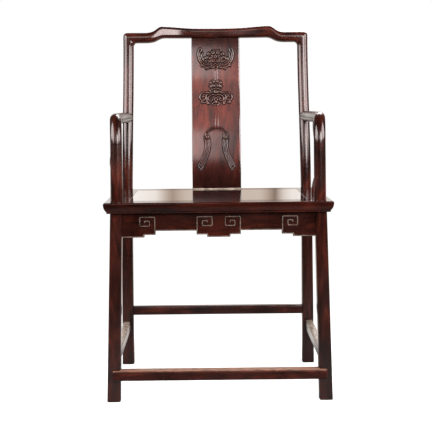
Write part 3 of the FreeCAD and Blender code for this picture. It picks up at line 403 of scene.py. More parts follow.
def hardwood(name, dark, middle, light, shine, coat, specular=0.5, along=None, tone_and_painted_shading=(), wavy=0.0003,
             worn_colour=PALE_WEAR_AND_HIGHLIGHT, pore_bump=0.4, coat_blur=0.5, carved=False):
    """Dark polished wood: streaks and pores along the grain, and uneven polish, with painted light and shade
    by height, pale wear that is partly a painted highlight, and painted shade in carved recesses.
    With along, the grain runs along that axis of the object and not along the mesh's own attribute. The
    hollows of carved wood have no coat."""
    material = bpy.data.materials.new(name)
    material.use_nodes = True
    tree = material.node_tree
    shader = tree.nodes["Principled BSDF"]
    places = node(tree, "ShaderNodeTexCoord").outputs["Object"]
    if along:
        turned = {"Vector": places, "Rotation": GRAIN_TURNS[along]}
        grain = node(tree, "ShaderNodeMapping", turned).outputs["Vector"]
    else:
        grain = attribute(tree, "grain", "Vector")
    streaks = noise(tree, grain, STREAKS, detail=6, distortion=1.6)
    figure = noise(tree, grain, FIGURE, distortion=0.8)
    pores = noise(tree, grain, PORES, detail=2, roughness=0.7)
    clouds = noise(tree, places, CLOUDS)

    colour = ramp(tree, streaks, ((0.32, dark), (0.5, middle), (0.72, light)))
    veins = ramp(tree, figure, ((0.36, (0.45, 0.42, 0.42)), (0.56, WHITE)))
    colour = colour_mix(tree, 0.6, colour, veins, "MULTIPLY")
    specks = ramp(tree, pores, ((0.3, (0.35, 0.3, 0.3)), (0.42, WHITE)))
    colour = colour_mix(tree, 0.5, colour, specks, "MULTIPLY")
    shades = ramp(tree, clouds, ((0.35, (0.62, 0.58, 0.58)), (0.68, (1.35, 1.2, 1.15))))
    colour = colour_mix(tree, 0.9, colour, shades, "MULTIPLY")
    # Painted light and shade by height, with some redder tone.
    if tone_and_painted_shading:
        shades = ramp(tree, part_of(tree, places, "Z"), tone_and_painted_shading)
        colour = colour_mix(tree, 1.0, colour, shades, "MULTIPLY")
    patchy = remap(tree, noise(tree, places, PATCHES, detail=5), 0.34, 0.6, 0.4, 1.0)
    # Pale wear, partly a painted highlight, on raised crowns and upper edges.
    wear_and_highlight_share = maths(tree, "MULTIPLY", attribute(tree, "worn"), patchy)
    colour = colour_mix(tree, wear_and_highlight_share, colour, worn_colour)
    # Painted shade in the recesses beside carved lines, which also get a rougher surface.
    recess_shade_mask = attribute(tree, "recess_shade_mask")
    colour = colour_mix(tree, recess_shade_mask, colour, PAINTED_RECESS_SHADE)
    rough = remap(tree, clouds, 0.3, 0.7, shine * 0.75, shine * 1.3)
    rough = maths(tree, "ADD", rough, maths(tree, "MULTIPLY", recess_shade_mask, SUNK_ROUGHNESS))

    waves = bump(tree, noise(tree, places, WAVES, detail=2), 1.0, wavy)
    fill(tree, shader, {
        "Base Color": colour,
        "Roughness": rough,
        "Coat Weight": coat,
        "Coat Roughness": shine * coat_blur,
        "Specular IOR Level": specular,
        "Specular Tint": GLOSS_TINT,
        "Normal": bump(tree, pores, pore_bump, PORE_DEPTH, Normal=waves),
    })
    if carved:
        polished = maths(tree, "MULTIPLY", maths(tree, "SUBTRACT", 1.0, recess_shade_mask), coat)
        fill(tree, shader, {"Coat Weight": polished})
    return material


# Colour scales by height in metres, partly painted light and shade. The splat is redder in its middle and
# darker at both ends, as painted shade where it meets the seat and the crest rail.
BOARD_TONE_AND_PAINTED_SHADING = (
    (0.5, (0.1, 0.08, 0.08)),
    (0.546, (0.25, 0.2, 0.2)),
    (0.6012, (0.75, 0.66, 0.66)),
    (0.707, (1.05, 0.88, 0.86)),
    (0.868, (0.75, 0.68, 0.68)),
    (0.9278, (0.3, 0.26, 0.26)),
    (0.96, (0.2, 0.2, 0.2)),
)
# Painted light and shade on the frame by height: the posts are redder just above the seat, as painted light
# reflected from the seat, darkest below the arms and darker at the feet, as painted shade, and lighter at
# the crest rail, as painted light.
FRAME_TONE_AND_PAINTED_SHADING = (
    (0.0, (0.55, 0.6, 0.55)),
    (0.2, (0.85, 0.9, 0.88)),
    (0.45, (0.85, 0.9, 0.88)),
    (0.53, (1.3, 1.2, 1.1)),
    (0.57, (1.1, 1.05, 1.0)),
    (0.63, (0.4, 0.42, 0.42)),
    (0.70, (0.5, 0.55, 0.55)),
    (0.77, (0.95, 1.05, 1.05)),
    (0.85, (1.2, 1.25, 1.25)),
)
dark_wood = hardwood("dark_hardwood", *PLAIN, shine=0.2, coat=0.0, specular=0.55, tone_and_painted_shading=FRAME_TONE_AND_PAINTED_SHADING)
# The aprons' darker wood is painted shade under the seat.
shaded_apron_wood = hardwood("apron_hardwood_painted_shade", *DARKER, shine=0.26, coat=0.0, specular=0.2)
board_wood = hardwood("splat_board", *BOARD, shine=0.14, coat=1.0, specular=0.25, tone_and_painted_shading=BOARD_TONE_AND_PAINTED_SHADING,
                      wavy=0.0005, coat_blur=1.0, carved=True)
worn_wood = hardwood("worn_hardwood", *PLAIN, shine=0.3, coat=0.0, specular=0.2, worn_colour=WORN)
top_wood = hardwood("seat_top_along_x", *SEAT, shine=0.06, coat=1.0, along="x",
                    wavy=0.00004, pore_bump=0.05)
batten_wood = hardwood("batten_wood", *PLAIN, shine=0.4, coat=0.1, along="y")
frame_wood = hardwood("seat_frame_wood", *DARKER, shine=0.1, coat=0.0, specular=0.24, wavy=0.0001)


# Legs

LEG_SHIFT = 137.0
MITRE_SHARES = (0.25, 0.5, 0.75, 1.0)


def lower_leg(front, sign):
    """The square leg with rounded edges, and its neck through the seat frame."""
    rings = []
    levels = [(0.0, FOOT_EASE), (FOOT_EASE, 0.0)]
    levels += [(level, 0.0) for level in np.linspace(20, FRAME_UNDER, 12)]
    for level, inset in levels:
        across, along, width = leg_place(front, level)
        width -= inset * 2
        rings.append(level_ring(sign * across, along, level, rounded(width, width, LEG_CORNER)))
    neck = rounded(NECK_WIDTH, NECK_WIDTH, LEG_CORNER)
    rings += [level_ring(sign * across, along, level, neck) for level in (FRAME_UNDER, SEAT_TOP - 1)]
    return swept(rings, shift=LEG_SHIFT * sign + (61.0 if front else 17.0))


def whole_leg(name, front, sign, rings):
    """A leg with the post above it, from the post's rings."""
    post = swept(rings, start=500.0, shift=LEG_SHIFT * sign)
    new_piece(name, *joined([lower_leg(front, sign), post]), dark_wood)


def front_leg(side, sign):
    rings = []
    for level in np.linspace(SEAT_TOP - 3, ARM_JOINT, 14):
        share = max(level - SEAT_TOP, 0) / (ARM_JOINT - SEAT_TOP)
        across = between(FRONT_POST_X, FRONT_JOINT_X, share)
        along = between(FRONT_TOP_Y, FRONT_JOINT_Y, share)
        section = circle(between(FRONT_POST_WIDTH, ARM_WIDTH, share))
        rings.append(level_ring(sign * across, along, level, section))
    whole_leg(side + "_front_leg", True, sign, rings)


def shoulder(points, sign):
    """Rounds the outer corner where post and crest rail meet."""
    points = np.array(points, float)
    half = CREST_END_HEIGHT / 2
    centre_z = CREST_TOP - half
    u, v = points[:, 0] * sign - CREST_POST_X, points[:, 2] - centre_z
    low, high = np.minimum(u, v), np.maximum(u, v)
    bend = SHOULDER_ROUND * np.clip(high / half, 0, 1)
    flat = high - bend
    turn = np.arctan2(low, np.maximum(high, 1e-9))
    corner = (u > 0) & (v > 0) & (low > flat) & (high > 1e-6)
    # the distance along the ray from the centre to the rounded corner of its shell
    middle = flat * (np.cos(turn) + np.sin(turn))
    reach = middle + np.sqrt(np.maximum(middle ** 2 - 2 * flat ** 2 + bend ** 2, 0))
    size = np.hypot(u, v)
    scale = np.where(corner & (size > reach), reach / np.maximum(size, 1e-9), 1.0)
    points[:, 0] = sign * (CREST_POST_X + u * scale)
    points[:, 2] = centre_z + v * scale
    return points


def inner_fill(distance):
    """How far the inner corner's round stands out at a distance from the corner."""
    left = INNER_ROUND - np.clip(distance, 0, INNER_ROUND)
    return INNER_ROUND - np.sqrt(np.maximum(INNER_ROUND ** 2 - left ** 2, 0))


def rear_leg(side, sign):
    """The last rings turn from level to the slope of the mitre with the crest rail."""
    straight = np.linspace(SEAT_TOP, CORNER_LOW - 31, 34)
    levels = np.concatenate([[SEAT_TOP - 3], straight, np.linspace(CORNER_LOW - 26, CORNER_LOW, 9)])
    section = rounded(BACK_POST_WIDTH, BACK_POST_WIDTH, POST_ROUND)
    inward = np.clip(-sign * section[:, 0] / (BACK_POST_WIDTH / 2), 0, 1)
    rings = []
    for level in levels:
        across, along = back_post_at(level - SEAT_TOP)
        ring = level_ring(sign * across, along, level, section)[0]
        ring[:, 0] -= sign * inner_fill(CORNER_LOW - level) * inward
        rings.append((shoulder(ring, sign), section))
    across = CREST_POST_X + sign * section[:, 0]
    for share in MITRE_SHARES:
        level = CORNER_LOW + (across - CREST_INNER) * share
        ring = np.column_stack([sign * across, BACK_POST_Y + BACK_RAKE + section[:, 1], level])
        ring[:, 0] -= sign * inner_fill(0.0) * inward
        rings.append((shoulder(ring, sign), section))
    whole_leg(side + "_rear_leg", False, sign, rings)


# Crest rail

# Places from the middle outwards, with the levels of the rail's top and of its underside.
CREST_TOPS = (
    (0, 973.0), (40, 973.3), (73, 974.2), (110, 976.8), (140, 978.6), (149, 978.8), (157, 978.2),
    (165, 974.8), (174, 968.4), (182, 964.2), (189, 962.2), (198, 961.1), (206, 961.0), (266, 961.0),
)
CREST_UNDERS = (
    (0, 945.4), (140, 945.4), (150, 945.0), (158, 943.0), (165, 939.6), (174, 935.0), (182, 932.6),
    (189, 931.6), (198, 931.0), (266, 931.0),
)
# Where the rings lie, from the middle outwards: the first, the last and how many in each run.
CREST_RUNS = ((0, 70, 15), (75, 145, 15), (149, 206, 30), (211, CREST_INNER, 6))


def crest_ring(across, top, under, corner):
    """A ring of the rail, which bows back between its steps and is straight over the splat."""
    half_splat = SPLAT_WIDTH / 2
    share = max(0.0, abs(across) - half_splat) / (CREST_STEP_X - half_splat)
    bow = CREST_BOW * max(0.0, 1 - share ** 2) ** 1.5
    section = rounded(CREST_DEEP, top - under, corner)
    ring = upright_ring(across, BACK_POST_Y + BACK_RAKE + bow, (top + under) / 2, section)[0]
    down = np.clip(-section[:, 1] / ((top - under) / 2), 0, 1)
    ring[:, 2] -= inner_fill(CREST_INNER - abs(across)) * down
    return ring, section


def crest_end(sign):
    """The rings at one end, which turn from upright to the slope of the mitre."""
    base, section = crest_ring(sign * CREST_INNER, CREST_TOP, CORNER_LOW, POST_ROUND)
    made = []
    for share in MITRE_SHARES:
        ring = base.copy()
        ring[:, 0] = sign * (CREST_INNER + (CREST_END_HEIGHT / 2 + section[:, 1]) * share)
        made.append((shoulder(ring, sign), section))
    return made


def crest_rail():
    half = np.concatenate([np.linspace(*run) for run in CREST_RUNS])
    across = np.concatenate([-half[:0:-1], half])
    tops = curve_through(*zip(*CREST_TOPS), np.abs(across))
    unders = curve_through(*zip(*CREST_UNDERS), np.abs(across))
    made = crest_end(-1)[::-1]
    for x, top, under in zip(across, tops, unders):
        share = smooth((abs(x) - CREST_HUMP_X) / (CREST_STEP_X - CREST_HUMP_X))
        made.append(crest_ring(x, top, under, between(CREST_ROUND, POST_ROUND, share)))
    made += crest_end(1)
    new_piece("crest_rail", *swept(made, shift=311.0), dark_wood)


# Arms and the posts under them

def arm_path():
    """The right arm's middle line: one arc in plan, then a bend down to the front post."""
    root_x, root_y = back_post_at(ARM_MID - SEAT_TOP)
    run_in = math.asin((ARM_BEND_X - FRONT_JOINT_X) / ARM_BEND)
    bend_x, bend_y = ARM_BEND_X, FRONT_JOINT_Y + ARM_BEND * math.cos(run_in)
    run_out = run_in + 2 * math.atan2(bend_x - root_x, root_y - bend_y)
    radius = math.hypot(bend_x - root_x, root_y - bend_y) / (2 * math.sin((run_in + run_out) / 2))
    centre_x, centre_y = bend_x - radius * math.cos(run_in), bend_y + radius * math.sin(run_in)
    path = []
    for share in np.linspace(0, 1, 40)[:-1]:
        turn = run_out - (run_in + run_out) * share
        path.append((centre_x + radius * math.cos(turn), centre_y + radius * math.sin(turn), ARM_MID))
    for turn in np.linspace(0, QUARTER, 22):
        ahead = ARM_BEND * math.sin(turn)
        drop = ARM_BEND * (1 - math.cos(turn))
        path.append((bend_x - ahead * math.sin(run_in), bend_y - ahead * math.cos(run_in), ARM_MID - drop))
    return np.array(path)


def arm(side, sign):
    path = arm_path() * (sign, 1, 1)
    section = circle(ARM_WIDTH)
    rings = []
    for place, way in zip(path, np.gradient(path, axis=0)):
        way = way / np.linalg.norm(way)
        aside = np.cross(way, (sign, 0, 0))
        aside = aside / np.linalg.norm(aside)
        ring = place + section[:, :1] * aside + section[:, 1:] * np.cross(aside, way)
        rings.append((ring, section))
    parts = swept(rings, start=40.0, shift=(91.0 * sign, 0))
    new_piece(side + "_arm", *parts, dark_wood)


def side_post(side, sign):
    """The slender post, which bows outwards and tapers towards the arm."""
    low = SEAT_TOP + SIDE_POST_STRAIGHT
    high = ARM_MID - ARM_WIDTH / 2 - SIDE_POST_STRAIGHT
    shares = (0.0, 0.14, 0.29, 0.46, 0.66, 0.84, 1.0)
    bulges = (0.0, 0.26, 0.77, 1.0, 0.72, 0.2, 0.0)
    along = (BACK_POST_Y + FRONT_TOP_Y) / 2
    rings = []
    for level in (SEAT_TOP - 4, SEAT_TOP + 6, *np.linspace(low, high, 30), high + 8, ARM_MID):
        share = min(max((level - low) / (high - low), 0), 1)
        bulge = SIDE_POST_BULGE * float(curve_through(shares, bulges, [share])[0])
        across = SIDE_POST_X + SIDE_POST_HEAD_SHIFT * share + bulge
        section = circle(between(SIDE_POST_FOOT_WIDTH, SIDE_POST_HEAD_WIDTH, share), 28)
        rings.append(level_ring(sign * across, along, level, section))
    new_piece(side + "_side_post", *swept(rings, shift=203.0 * sign), dark_wood)


# Splat and its carving

def stroke(x, z, path, radius, height, sharp=0.5):
    """A raised round line along a path of points, as its height at each place."""
    path = np.asarray(path, float)
    low, high = path.min(axis=0) - radius, path.max(axis=0) + radius
    near = (x > low[0]) & (x < high[0]) & (z > low[1]) & (z < high[1])
    near_x, near_z = x[near], z[near]
    best = np.full(near_x.shape, 1e9)
    for start, end in zip(path, path[1:]):
        run = end - start
        length = max(float(run @ run), 1e-9)
        share = np.clip(((near_x - start[0]) * run[0] + (near_z - start[1]) * run[1]) / length, 0, 1)
        gap_x, gap_z = near_x - start[0] - share * run[0], near_z - start[1] - share * run[1]
        best = np.minimum(best, np.hypot(gap_x, gap_z))
    raised = np.zeros(x.shape)
    raised[near] = height * np.clip(1 - (best / radius) ** 2, 0, 1) ** sharp
    return raised


def bent(points, steps=8):
    """A smooth path through a few points."""
    points = np.asarray(points, float)
    padded = np.vstack([2 * points[0] - points[1], points, 2 * points[-1] - points[-2]])
    made = []
    for index in range(1, len(padded) - 2):
        p0, p1, p2, p3 = padded[index - 1:index + 3]
        slope = p2 - p0
        bow = 2 * p0 - 5 * p1 + 4 * p2 - p3
        twist = 3 * p1 - p0 - 3 * p2 + p3
        for step in range(steps):
            t = step / steps
            made.append(0.5 * (2 * p1 + slope * t + bow * t * t + twist * t ** 3))
    made.append(points[-1])
    return np.array(made)


def spiral(centre, radius, turns, start, way=1, steps=26, last=0.15):
    """A path that winds in to a share of its radius."""
    made = []
    for step in range(steps + 1):
        share = step / steps
        turn = start + way * turns * 2 * math.pi * share
        reach = radius * (1 - share * (1 - last))
        made.append((centre[0] + reach * math.cos(turn), centre[1] + reach * math.sin(turn)))
    return np.array(made)


def tassel(shift):
    """One strand of a hanging tassel, beside its middle line and slightly askew at its end."""
    middle = ((26.0, 651), (25.0, 636), (27.0, 621), (32.0, 606), (39.0, 591), (45.5, 577))
    return bent([(x + shift * 0.8, z + shift * 0.25 * (index > 3)) for index, (x, z) in enumerate(middle)])


# Each line of the carving: its points, its half width and its height. All are mirrored.
CARVED = [
    # the bat's wings, with curled tips and scalloped lower edges
    (bent([(9, 860), (22, 858), (36, 865), (46, 878), (51, 894), (50, 908), (45, 916), (40.5, 912),
           (41.5, 906)]), 1.9, 3.0),
    (bent([(17, 867), (28, 867), (38, 875), (44.5, 887), (46, 899), (44.5, 907)]), 1.4, 2.4),
    (bent([(27, 873), (34, 878), (39, 887), (40, 897), (37.5, 903)]), 1.4, 2.2),
    (spiral((31, 886), 4.6, 1.2, -0.6), 1.35, 2.3),
    (spiral((40, 865), 4.2, 1.0, 2.4, -1), 1.3, 2.0),
    (spiral((26, 857), 4.2, 1.0, 2.0, -1), 1.3, 2.0),
    # its body of small curls, its head and its tail
    (spiral((7.5, 902), 5.2, 1.25, 0.4), 1.5, 2.6),
    (spiral((18.5, 899), 5.2, 1.2, 1.4, -1), 1.4, 2.5),
    (spiral((24, 889), 4.2, 1.1, 0.0), 1.3, 2.3),
    (spiral((14, 887), 5.2, 1.2, 3.6), 1.4, 2.6),
    (spiral((6.5, 878), 5.4, 1.2, 2.6, -1), 1.4, 2.5),
    (spiral((19, 877), 4.6, 1.2, 0.6), 1.3, 2.4),
    (bent([(0, 911), (5, 909), (9, 911)]), 1.5, 2.2),
    (bent([(0, 895), (3.5, 891), (0, 886)]), 1.6, 2.6),
    (bent([(0, 872), (5, 868), (9, 870)]), 1.4, 2.2),
    (bent([(0, 864), (6, 862), (4, 857), (0, 856)]), 1.5, 2.2),
    # the cord that it holds
    (bent([(3.3, 857), (3.5, 842), (3.3, 824)]), 2.0, 0.18),
    # the stacked knot
    (spiral((6.0, 818), 4.6, 1.2, 0.6), 1.4, 2.4),
    (spiral((13.5, 815), 4.0, 1.1, 2.0, -1), 1.3, 2.2),
    (spiral((6.5, 807), 4.8, 1.2, 1.2, -1), 1.4, 2.5),
    (spiral((15.0, 804), 4.0, 1.1, 0.2), 1.3, 2.2),
    (bent([(0, 799), (7, 797), (13, 795), (18, 792), (14, 788)]), 1.5, 2.4),
    (bent([(0, 793), (4, 790), (0, 787)]), 1.4, 2.4),
    # the wide scroll under it
    (bent([(0, 785), (9, 788), (19, 785), (30, 787), (40, 785), (46, 778), (46, 769), (40, 763.5),
           (33, 765), (30.5, 771.5), (35, 776.5), (39.5, 773)]), 1.8, 3.0),
    (bent([(0, 778), (8, 780), (17, 777), (22.5, 771), (20.5, 763.5), (14, 761.5), (9.5, 766),
           (13, 771)]), 1.6, 2.7),
    (bent([(24, 781), (28, 777.5), (26, 768), (27, 760), (33, 757)]), 1.3, 2.2),
    (spiral((38.5, 758.5), 4.0, 1.1, 2.0, -1), 1.3, 2.2),
    (spiral((23.5, 755.5), 4.0, 1.1, 1.0), 1.3, 2.2),
    (bent([(0, 772), (4.5, 766), (0, 759)]), 1.5, 2.5),
    (bent([(0, 757), (6, 758), (10, 754), (5, 750), (0, 751)]), 1.4, 2.3),
    # the lower cord
    (bent([(4.0, 748), (4.3, 720), (4.0, 687)]), 2.0, 0.18),
    # the arched yoke
    (bent([(0, 686.5), (10, 685), (20, 680), (29, 671), (34, 661)]), 1.4, 1.8),
    (bent([(0, 680), (9, 679), (17, 674), (22.5, 666)]), 1.2, 1.4),
    # the knots at its ends
    (spiral((26.5, 660), 7.0, 1.5, 0.3), 1.6, 2.9),
    (bent([(18.5, 653), (26, 650), (34.5, 653)]), 1.5, 2.3),
    # the hanging tassels and their curled ends
    *((tassel(shift), radius, 2.1) for shift, radius in ((-7.8, 1.5), (-2.7, 1.4), (2.5, 1.4), (7.8, 1.5))),
    (bent([(38, 575), (43, 570), (49, 572), (53, 578)]), 1.5, 2.1),
    (spiral((44, 568), 4.0, 1.0, 1.4, -1), 1.3, 1.9),
]
BOLD_HEIGHT = 2.15
RECESSED_HEIGHT = 1.5
RECESS_WIDTH = 2.8
# The crowns of bolder carved lines are painted pale, as wear and a painted highlight.
CROWN_WEAR_AND_HIGHLIGHT = 0.16
# A pale painted highlight line along the splat's foot, where it meets the seat.
FOOT_PAINTED_HIGHLIGHT = 0.8
CARVED_HALF = 56
CARVED_LOW, CARVED_HIGH = 559, 922


def carving(x, z):
    """Height of the carving over the board's face, how far the crowns of its bolder lines are painted pale,
    as wear and a painted highlight, and the painted shade in its recesses. The low cords have no recess
    beside them."""
    x = np.abs(x)
    lines, crowns, bold, beside = (np.zeros(x.shape) for index in range(4))
    for path, radius, height in CARVED:
        line = stroke(x, z, path, radius, height)
        lines = np.maximum(lines, line)
        crowns = np.maximum(crowns, line / height)
        if height > BOLD_HEIGHT:
            bold = np.maximum(bold, line / height)
        if height > RECESSED_HEIGHT:
            beside = np.maximum(beside, stroke(x, z, path, radius + RECESS_WIDTH, 1.0, 1.0))
    # Painted shade beside each raised line, fading off its crown.
    shaded_recess = np.clip(beside * 3.0, 0, 1) * (1 - smooth(crowns * 1.4))
    return lines, smooth((bold - 0.8) / 0.2), shaded_recess


def splat_edge(x_way, y_way, degrees):
    """Points round one long edge of the board, by their angles from its front."""
    turns = np.radians(degrees)
    across = x_way * (SPLAT_WIDTH / 2 - SPLAT_EDGE) + SPLAT_EDGE * np.sin(turns)
    out = y_way * (SPLAT_THICK / 2 - SPLAT_EDGE) + SPLAT_EDGE * np.cos(turns)
    return np.column_stack([across, out])


def splat():
    """The board, whose face is a fine grid where the carving is raised."""
    levels = np.concatenate([
        [SEAT_TOP - 3, SEAT_TOP, SEAT_TOP + 2.8, SEAT_TOP + 3.4],
        np.linspace(SEAT_TOP + 6, CARVED_LOW - 1, 9),
        np.linspace(CARVED_LOW, CARVED_HIGH, 560),
        np.linspace(CARVED_HIGH + 3, SEAT_TOP + 437, 5),
    ])
    flat_half = SPLAT_WIDTH / 2 - SPLAT_EDGE
    columns = np.concatenate([
        np.linspace(-flat_half, -CARVED_HALF, 5)[:-1],
        np.linspace(-CARVED_HALF, CARVED_HALF, 188),
        np.linspace(CARVED_HALF, flat_half, 5)[1:],
    ])
    rakes = [rake_at(SPLAT_RAKE, SPLAT_RISE, level - SEAT_TOP) for level in levels]
    places = np.column_stack([BACK_POST_Y + np.array(rakes), levels])
    ways = np.gradient(places, axis=0)
    ways /= np.linalg.norm(ways, axis=1)[:, None]
    grid_x, grid_z = np.meshgrid(columns, levels)
    raised, crowns, shaded_recess = carving(grid_x, grid_z)
    back_columns = np.linspace(flat_half, -flat_half, 9)
    rim = np.concatenate([
        splat_edge(1, 1, (30, 60, 90)),
        splat_edge(1, -1, (90, 120, 150)),
        np.column_stack([back_columns, np.full(9, -SPLAT_THICK / 2)]),
        splat_edge(-1, -1, (210, 240, 270)),
        splat_edge(-1, 1, (270, 300, 330)),
    ])
    rings = []
    for place, way, lift in zip(places, ways, raised):
        section = np.concatenate([np.column_stack([columns, SPLAT_THICK / 2 + lift]), rim])
        along, level = place[0] - section[:, 1] * way[1], place[1] + section[:, 1] * way[0]
        rings.append((np.column_stack([section[:, 0], along, level]), section))
    # The painted highlight line at the splat's foot, the pale crowns of the carving (wear and painted
    # highlight), and its painted recess shade.
    foot_highlight_line = FOOT_PAINTED_HIGHLIGHT * (grid_z < SEAT_TOP + 3)
    marks = {"worn": np.maximum(crowns * CROWN_WEAR_AND_HIGHLIGHT, foot_highlight_line), "recess_shade_mask": shaded_recess}
    for mark, values in marks.items():
        marks[mark] = np.pad(values, ((0, 0), (0, len(rim))))
    parts = swept(rings, start=77.0)
    new_piece("back_splat", *parts, board_wood, "polished_board", sharp=50, **marks)


# Seat frame

RAIL_MITRE_GAP = 0.12
# Points of the rail's edge below its upper rounding: levels, and how far in it lies there.
RAIL_MOULDING = ((504, 0.1), (501, 0.5), (498, 1.2), (495, 2.3), (492, 3.8), (489.5, 5.6), (487.8, 7.1))
BEAD_INSET, BEAD_LEVEL, BEAD_RADIUS = 8.6, 485.4, 1.6


def rail_section():
    """The seat rail's section: how far in from the outer edge, and the level."""
    points = [(RAIL_WIDTH, level) for level in (FRAME_UNDER, SEAT_TOP - 12.2, SEAT_TOP - 0.5)]
    points += [(inset, SEAT_TOP) for inset in (RAIL_WIDTH - 0.5, 40.0, 20.0, 6.0)]
    for turn in np.linspace(0, QUARTER, 8):
        points.append((EDGE_ROUND * (1 - math.sin(turn)), SEAT_TOP - EDGE_ROUND * (1 - math.cos(turn))))
    points += [(inset, level) for level, inset in RAIL_MOULDING]
    for turn in np.linspace(0.35, math.pi * 0.9, 7):
        inset = BEAD_INSET - BEAD_RADIUS * math.sin(turn)
        points.append((inset, BEAD_LEVEL + BEAD_RADIUS * math.cos(turn)))
    return np.array(points + [(10.5, FRAME_UNDER), (30.0, FRAME_UNDER)])


def seat_rail(name, start, end, outward):
    """A rail along a side of the seat, with its ends on the mitres."""
    start, end, outward = (np.array(value, float) for value in (start, end, outward))
    way = (end - start) / np.linalg.norm(end - start)
    section = rail_section()
    inset = section[:, :1]
    near = start + way * (inset + RAIL_MITRE_GAP) - outward * inset
    far = end - way * (inset + RAIL_MITRE_GAP) - outward * inset
    rings = []
    for share in np.linspace(0, 1, 9):
        rings.append((np.column_stack([between(near, far, share), section[:, 1]]), section))
    points, faces, grain = swept(rings, shift=50.0 * outward[0] + 23.0 * outward[1])
    if way[0] * outward[1] - way[1] * outward[0] > 0:
        faces = turned_over(faces)
    new_piece(name, points, faces, grain, frame_wood, sharp=35)


def seat_frame():
    for name, along, way in (("front", SEAT_FRONT, -1), ("rear", SEAT_BACK, 1)):
        seat_rail(name + "_seat_rail", (-HALF_SEAT, along), (HALF_SEAT, along), (0, way))
    for side, sign in SIDES:
        across = sign * HALF_SEAT
        seat_rail(side + "_seat_rail", (across, SEAT_FRONT), (across, SEAT_BACK), (sign, 0))


# Aprons, first as points (across, out, level)

HALF_BAND = BAND_WIDTH / 2
BAND_LOW_LEVEL = APRON_LOW + HALF_BAND
BAND_MIDDLE_LEVEL = APRON_MIDDLE + HALF_BAND
BAND_THIN_LEVEL = APRON_THIN + HALF_BAND
BAND_LAP = 3.0
BAND_END = 12.0
BAND_ROOT = -1.0
# How pale the bands' crowns are painted, as wear and partly a painted highlight.
BAND_WEAR_AND_HIGHLIGHT = 0.22
STATION_GAP = 6.0
# The eased lower corner of a step, as shares of the easing: how far along and how high.
EASED_CORNER = ((0.0, 1.0), (0.3, 0.3), (1.0, 0.0))


def apron_edge(leg_x, with_centre):
    """The apron's lower edge from its middle outwards, as places and levels."""
    steps = []
    if with_centre:
        steps.append((CENTRE_LOW_HALF, APRON_LOW, APRON_MIDDLE))
        steps.append((CENTRE_MID_HALF, APRON_MIDDLE, APRON_THIN))
    steps.append((leg_x - LOBE_MID_REACH, APRON_THIN, APRON_MIDDLE))
    steps.append((leg_x - LOBE_LOW_REACH, APRON_MIDDLE, APRON_LOW))
    edge = [(0.0, steps[0][1])]
    for across, before, after in steps:
        low = min(before, after)
        if after > before:
            edge += [(across - x * APRON_EASE, low + z * APRON_EASE) for x, z in EASED_CORNER[::-1]]
            edge.append((across, after))
        else:
            edge.append((across, before))
            edge += [(across + x * APRON_EASE, low + z * APRON_EASE) for x, z in EASED_CORNER]
        edge.append((edge[-1][0] + STATION_GAP, edge[-1][1]))
    edge.append((leg_x - STATION_GAP, APRON_LOW))
    return edge


def apron_skin(rings):
    """A closed skin through rings, with the grain from left to right."""
    points, faces, grain = swept(rings)
    return points, faces, points[:, ::-1]


def plate(edge):
    """An apron's board with eased edges."""
    rings = []
    for across, level in [(-across, level) for across, level in edge[:0:-1]] + edge:
        section = rounded(APRON_THICK, FRAME_UNDER - level, APRON_EASE, steps=2)
        rings.append(upright_ring(across, 0.0, (FRAME_UNDER + level) / 2, section))
    return apron_skin(rings)


def eased(path, radius, steps):
    """A path with its corners rounded."""
    path = np.array(path, float)
    made = [path[0]]
    for before, point, after in zip(path, path[1:], path[2:]):
        before, after = before - point, after - point
        back, ahead = np.linalg.norm(before), np.linalg.norm(after)
        reach = min(radius, back * 0.45, ahead * 0.45)
        first, last = point + before / back * reach, point + after / ahead * reach
        for step in range(steps + 1):
            share = step / steps
            made.append((1 - share) ** 2 * first + 2 * share * (1 - share) * point + share ** 2 * last)
    return np.array(made + [path[-1]])


def band(path):
    """A raised round band along a path on the board's face."""
    path = eased(path, BAND_BEND, steps=4)
    ways = np.gradient(path, axis=0)
    # near a sharp bend the ring lies on the bend's middle line
    ways /= np.maximum(np.linalg.norm(ways, axis=1), 1e-9)[:, None]
    turns = np.linspace(0.12, math.pi - 0.12, 7)
    aside = np.concatenate([[-HALF_BAND], -HALF_BAND * np.cos(turns), [HALF_BAND]])
    out = np.concatenate([[BAND_ROOT], BAND_PROUD * np.sin(turns) ** 0.7, [BAND_ROOT]])
    section = np.column_stack([aside, out])
    rings = []
    for (x, z), (way_x, way_z) in zip(path, ways):
        ring = np.column_stack([x - aside * way_z, APRON_THICK / 2 + out, z + aside * way_x])
        rings.append((ring, section))
    return apron_skin(rings)


def scroll(outer, inward):
    """The square scroll at a band's end, from its upper outer corner."""
    high = FRAME_UNDER - SCROLL_DROP
    floor = high - SCROLL_HEIGHT + BAND_WIDTH
    top = floor + SCROLL_CORE_HEIGHT
    far = outer + inward * (SCROLL_WIDTH - BAND_WIDTH)
    core, tail = far - inward * 2 * SCROLL_PITCH, far - inward * SCROLL_PITCH
    path = [(outer, high), (far, high), (far, floor), (core, floor), (core, top), (tail, top)]
    return path + [(tail, top - SCROLL_TAIL)]


def end_band_path(sign, leg_x):
    low_x, mid_x = leg_x - LOBE_LOW_REACH + HALF_BAND, leg_x - LOBE_MID_REACH + HALF_BAND
    path = [(leg_x - BAND_END, BAND_LOW_LEVEL), (low_x, BAND_LOW_LEVEL), (low_x, BAND_MIDDLE_LEVEL)]
    path += [(mid_x, BAND_MIDDLE_LEVEL)] + scroll(mid_x, 1)
    return [(sign * x, z) for x, z in path]


def centre_band_path():
    low_x, mid_x = CENTRE_LOW_HALF - HALF_BAND, CENTRE_MID_HALF - HALF_BAND
    right = [(low_x, BAND_LOW_LEVEL), (low_x, BAND_MIDDLE_LEVEL), (mid_x, BAND_MIDDLE_LEVEL)]
    right += scroll(mid_x, -1)
    return [(-x, z) for x, z in right[::-1]] + right


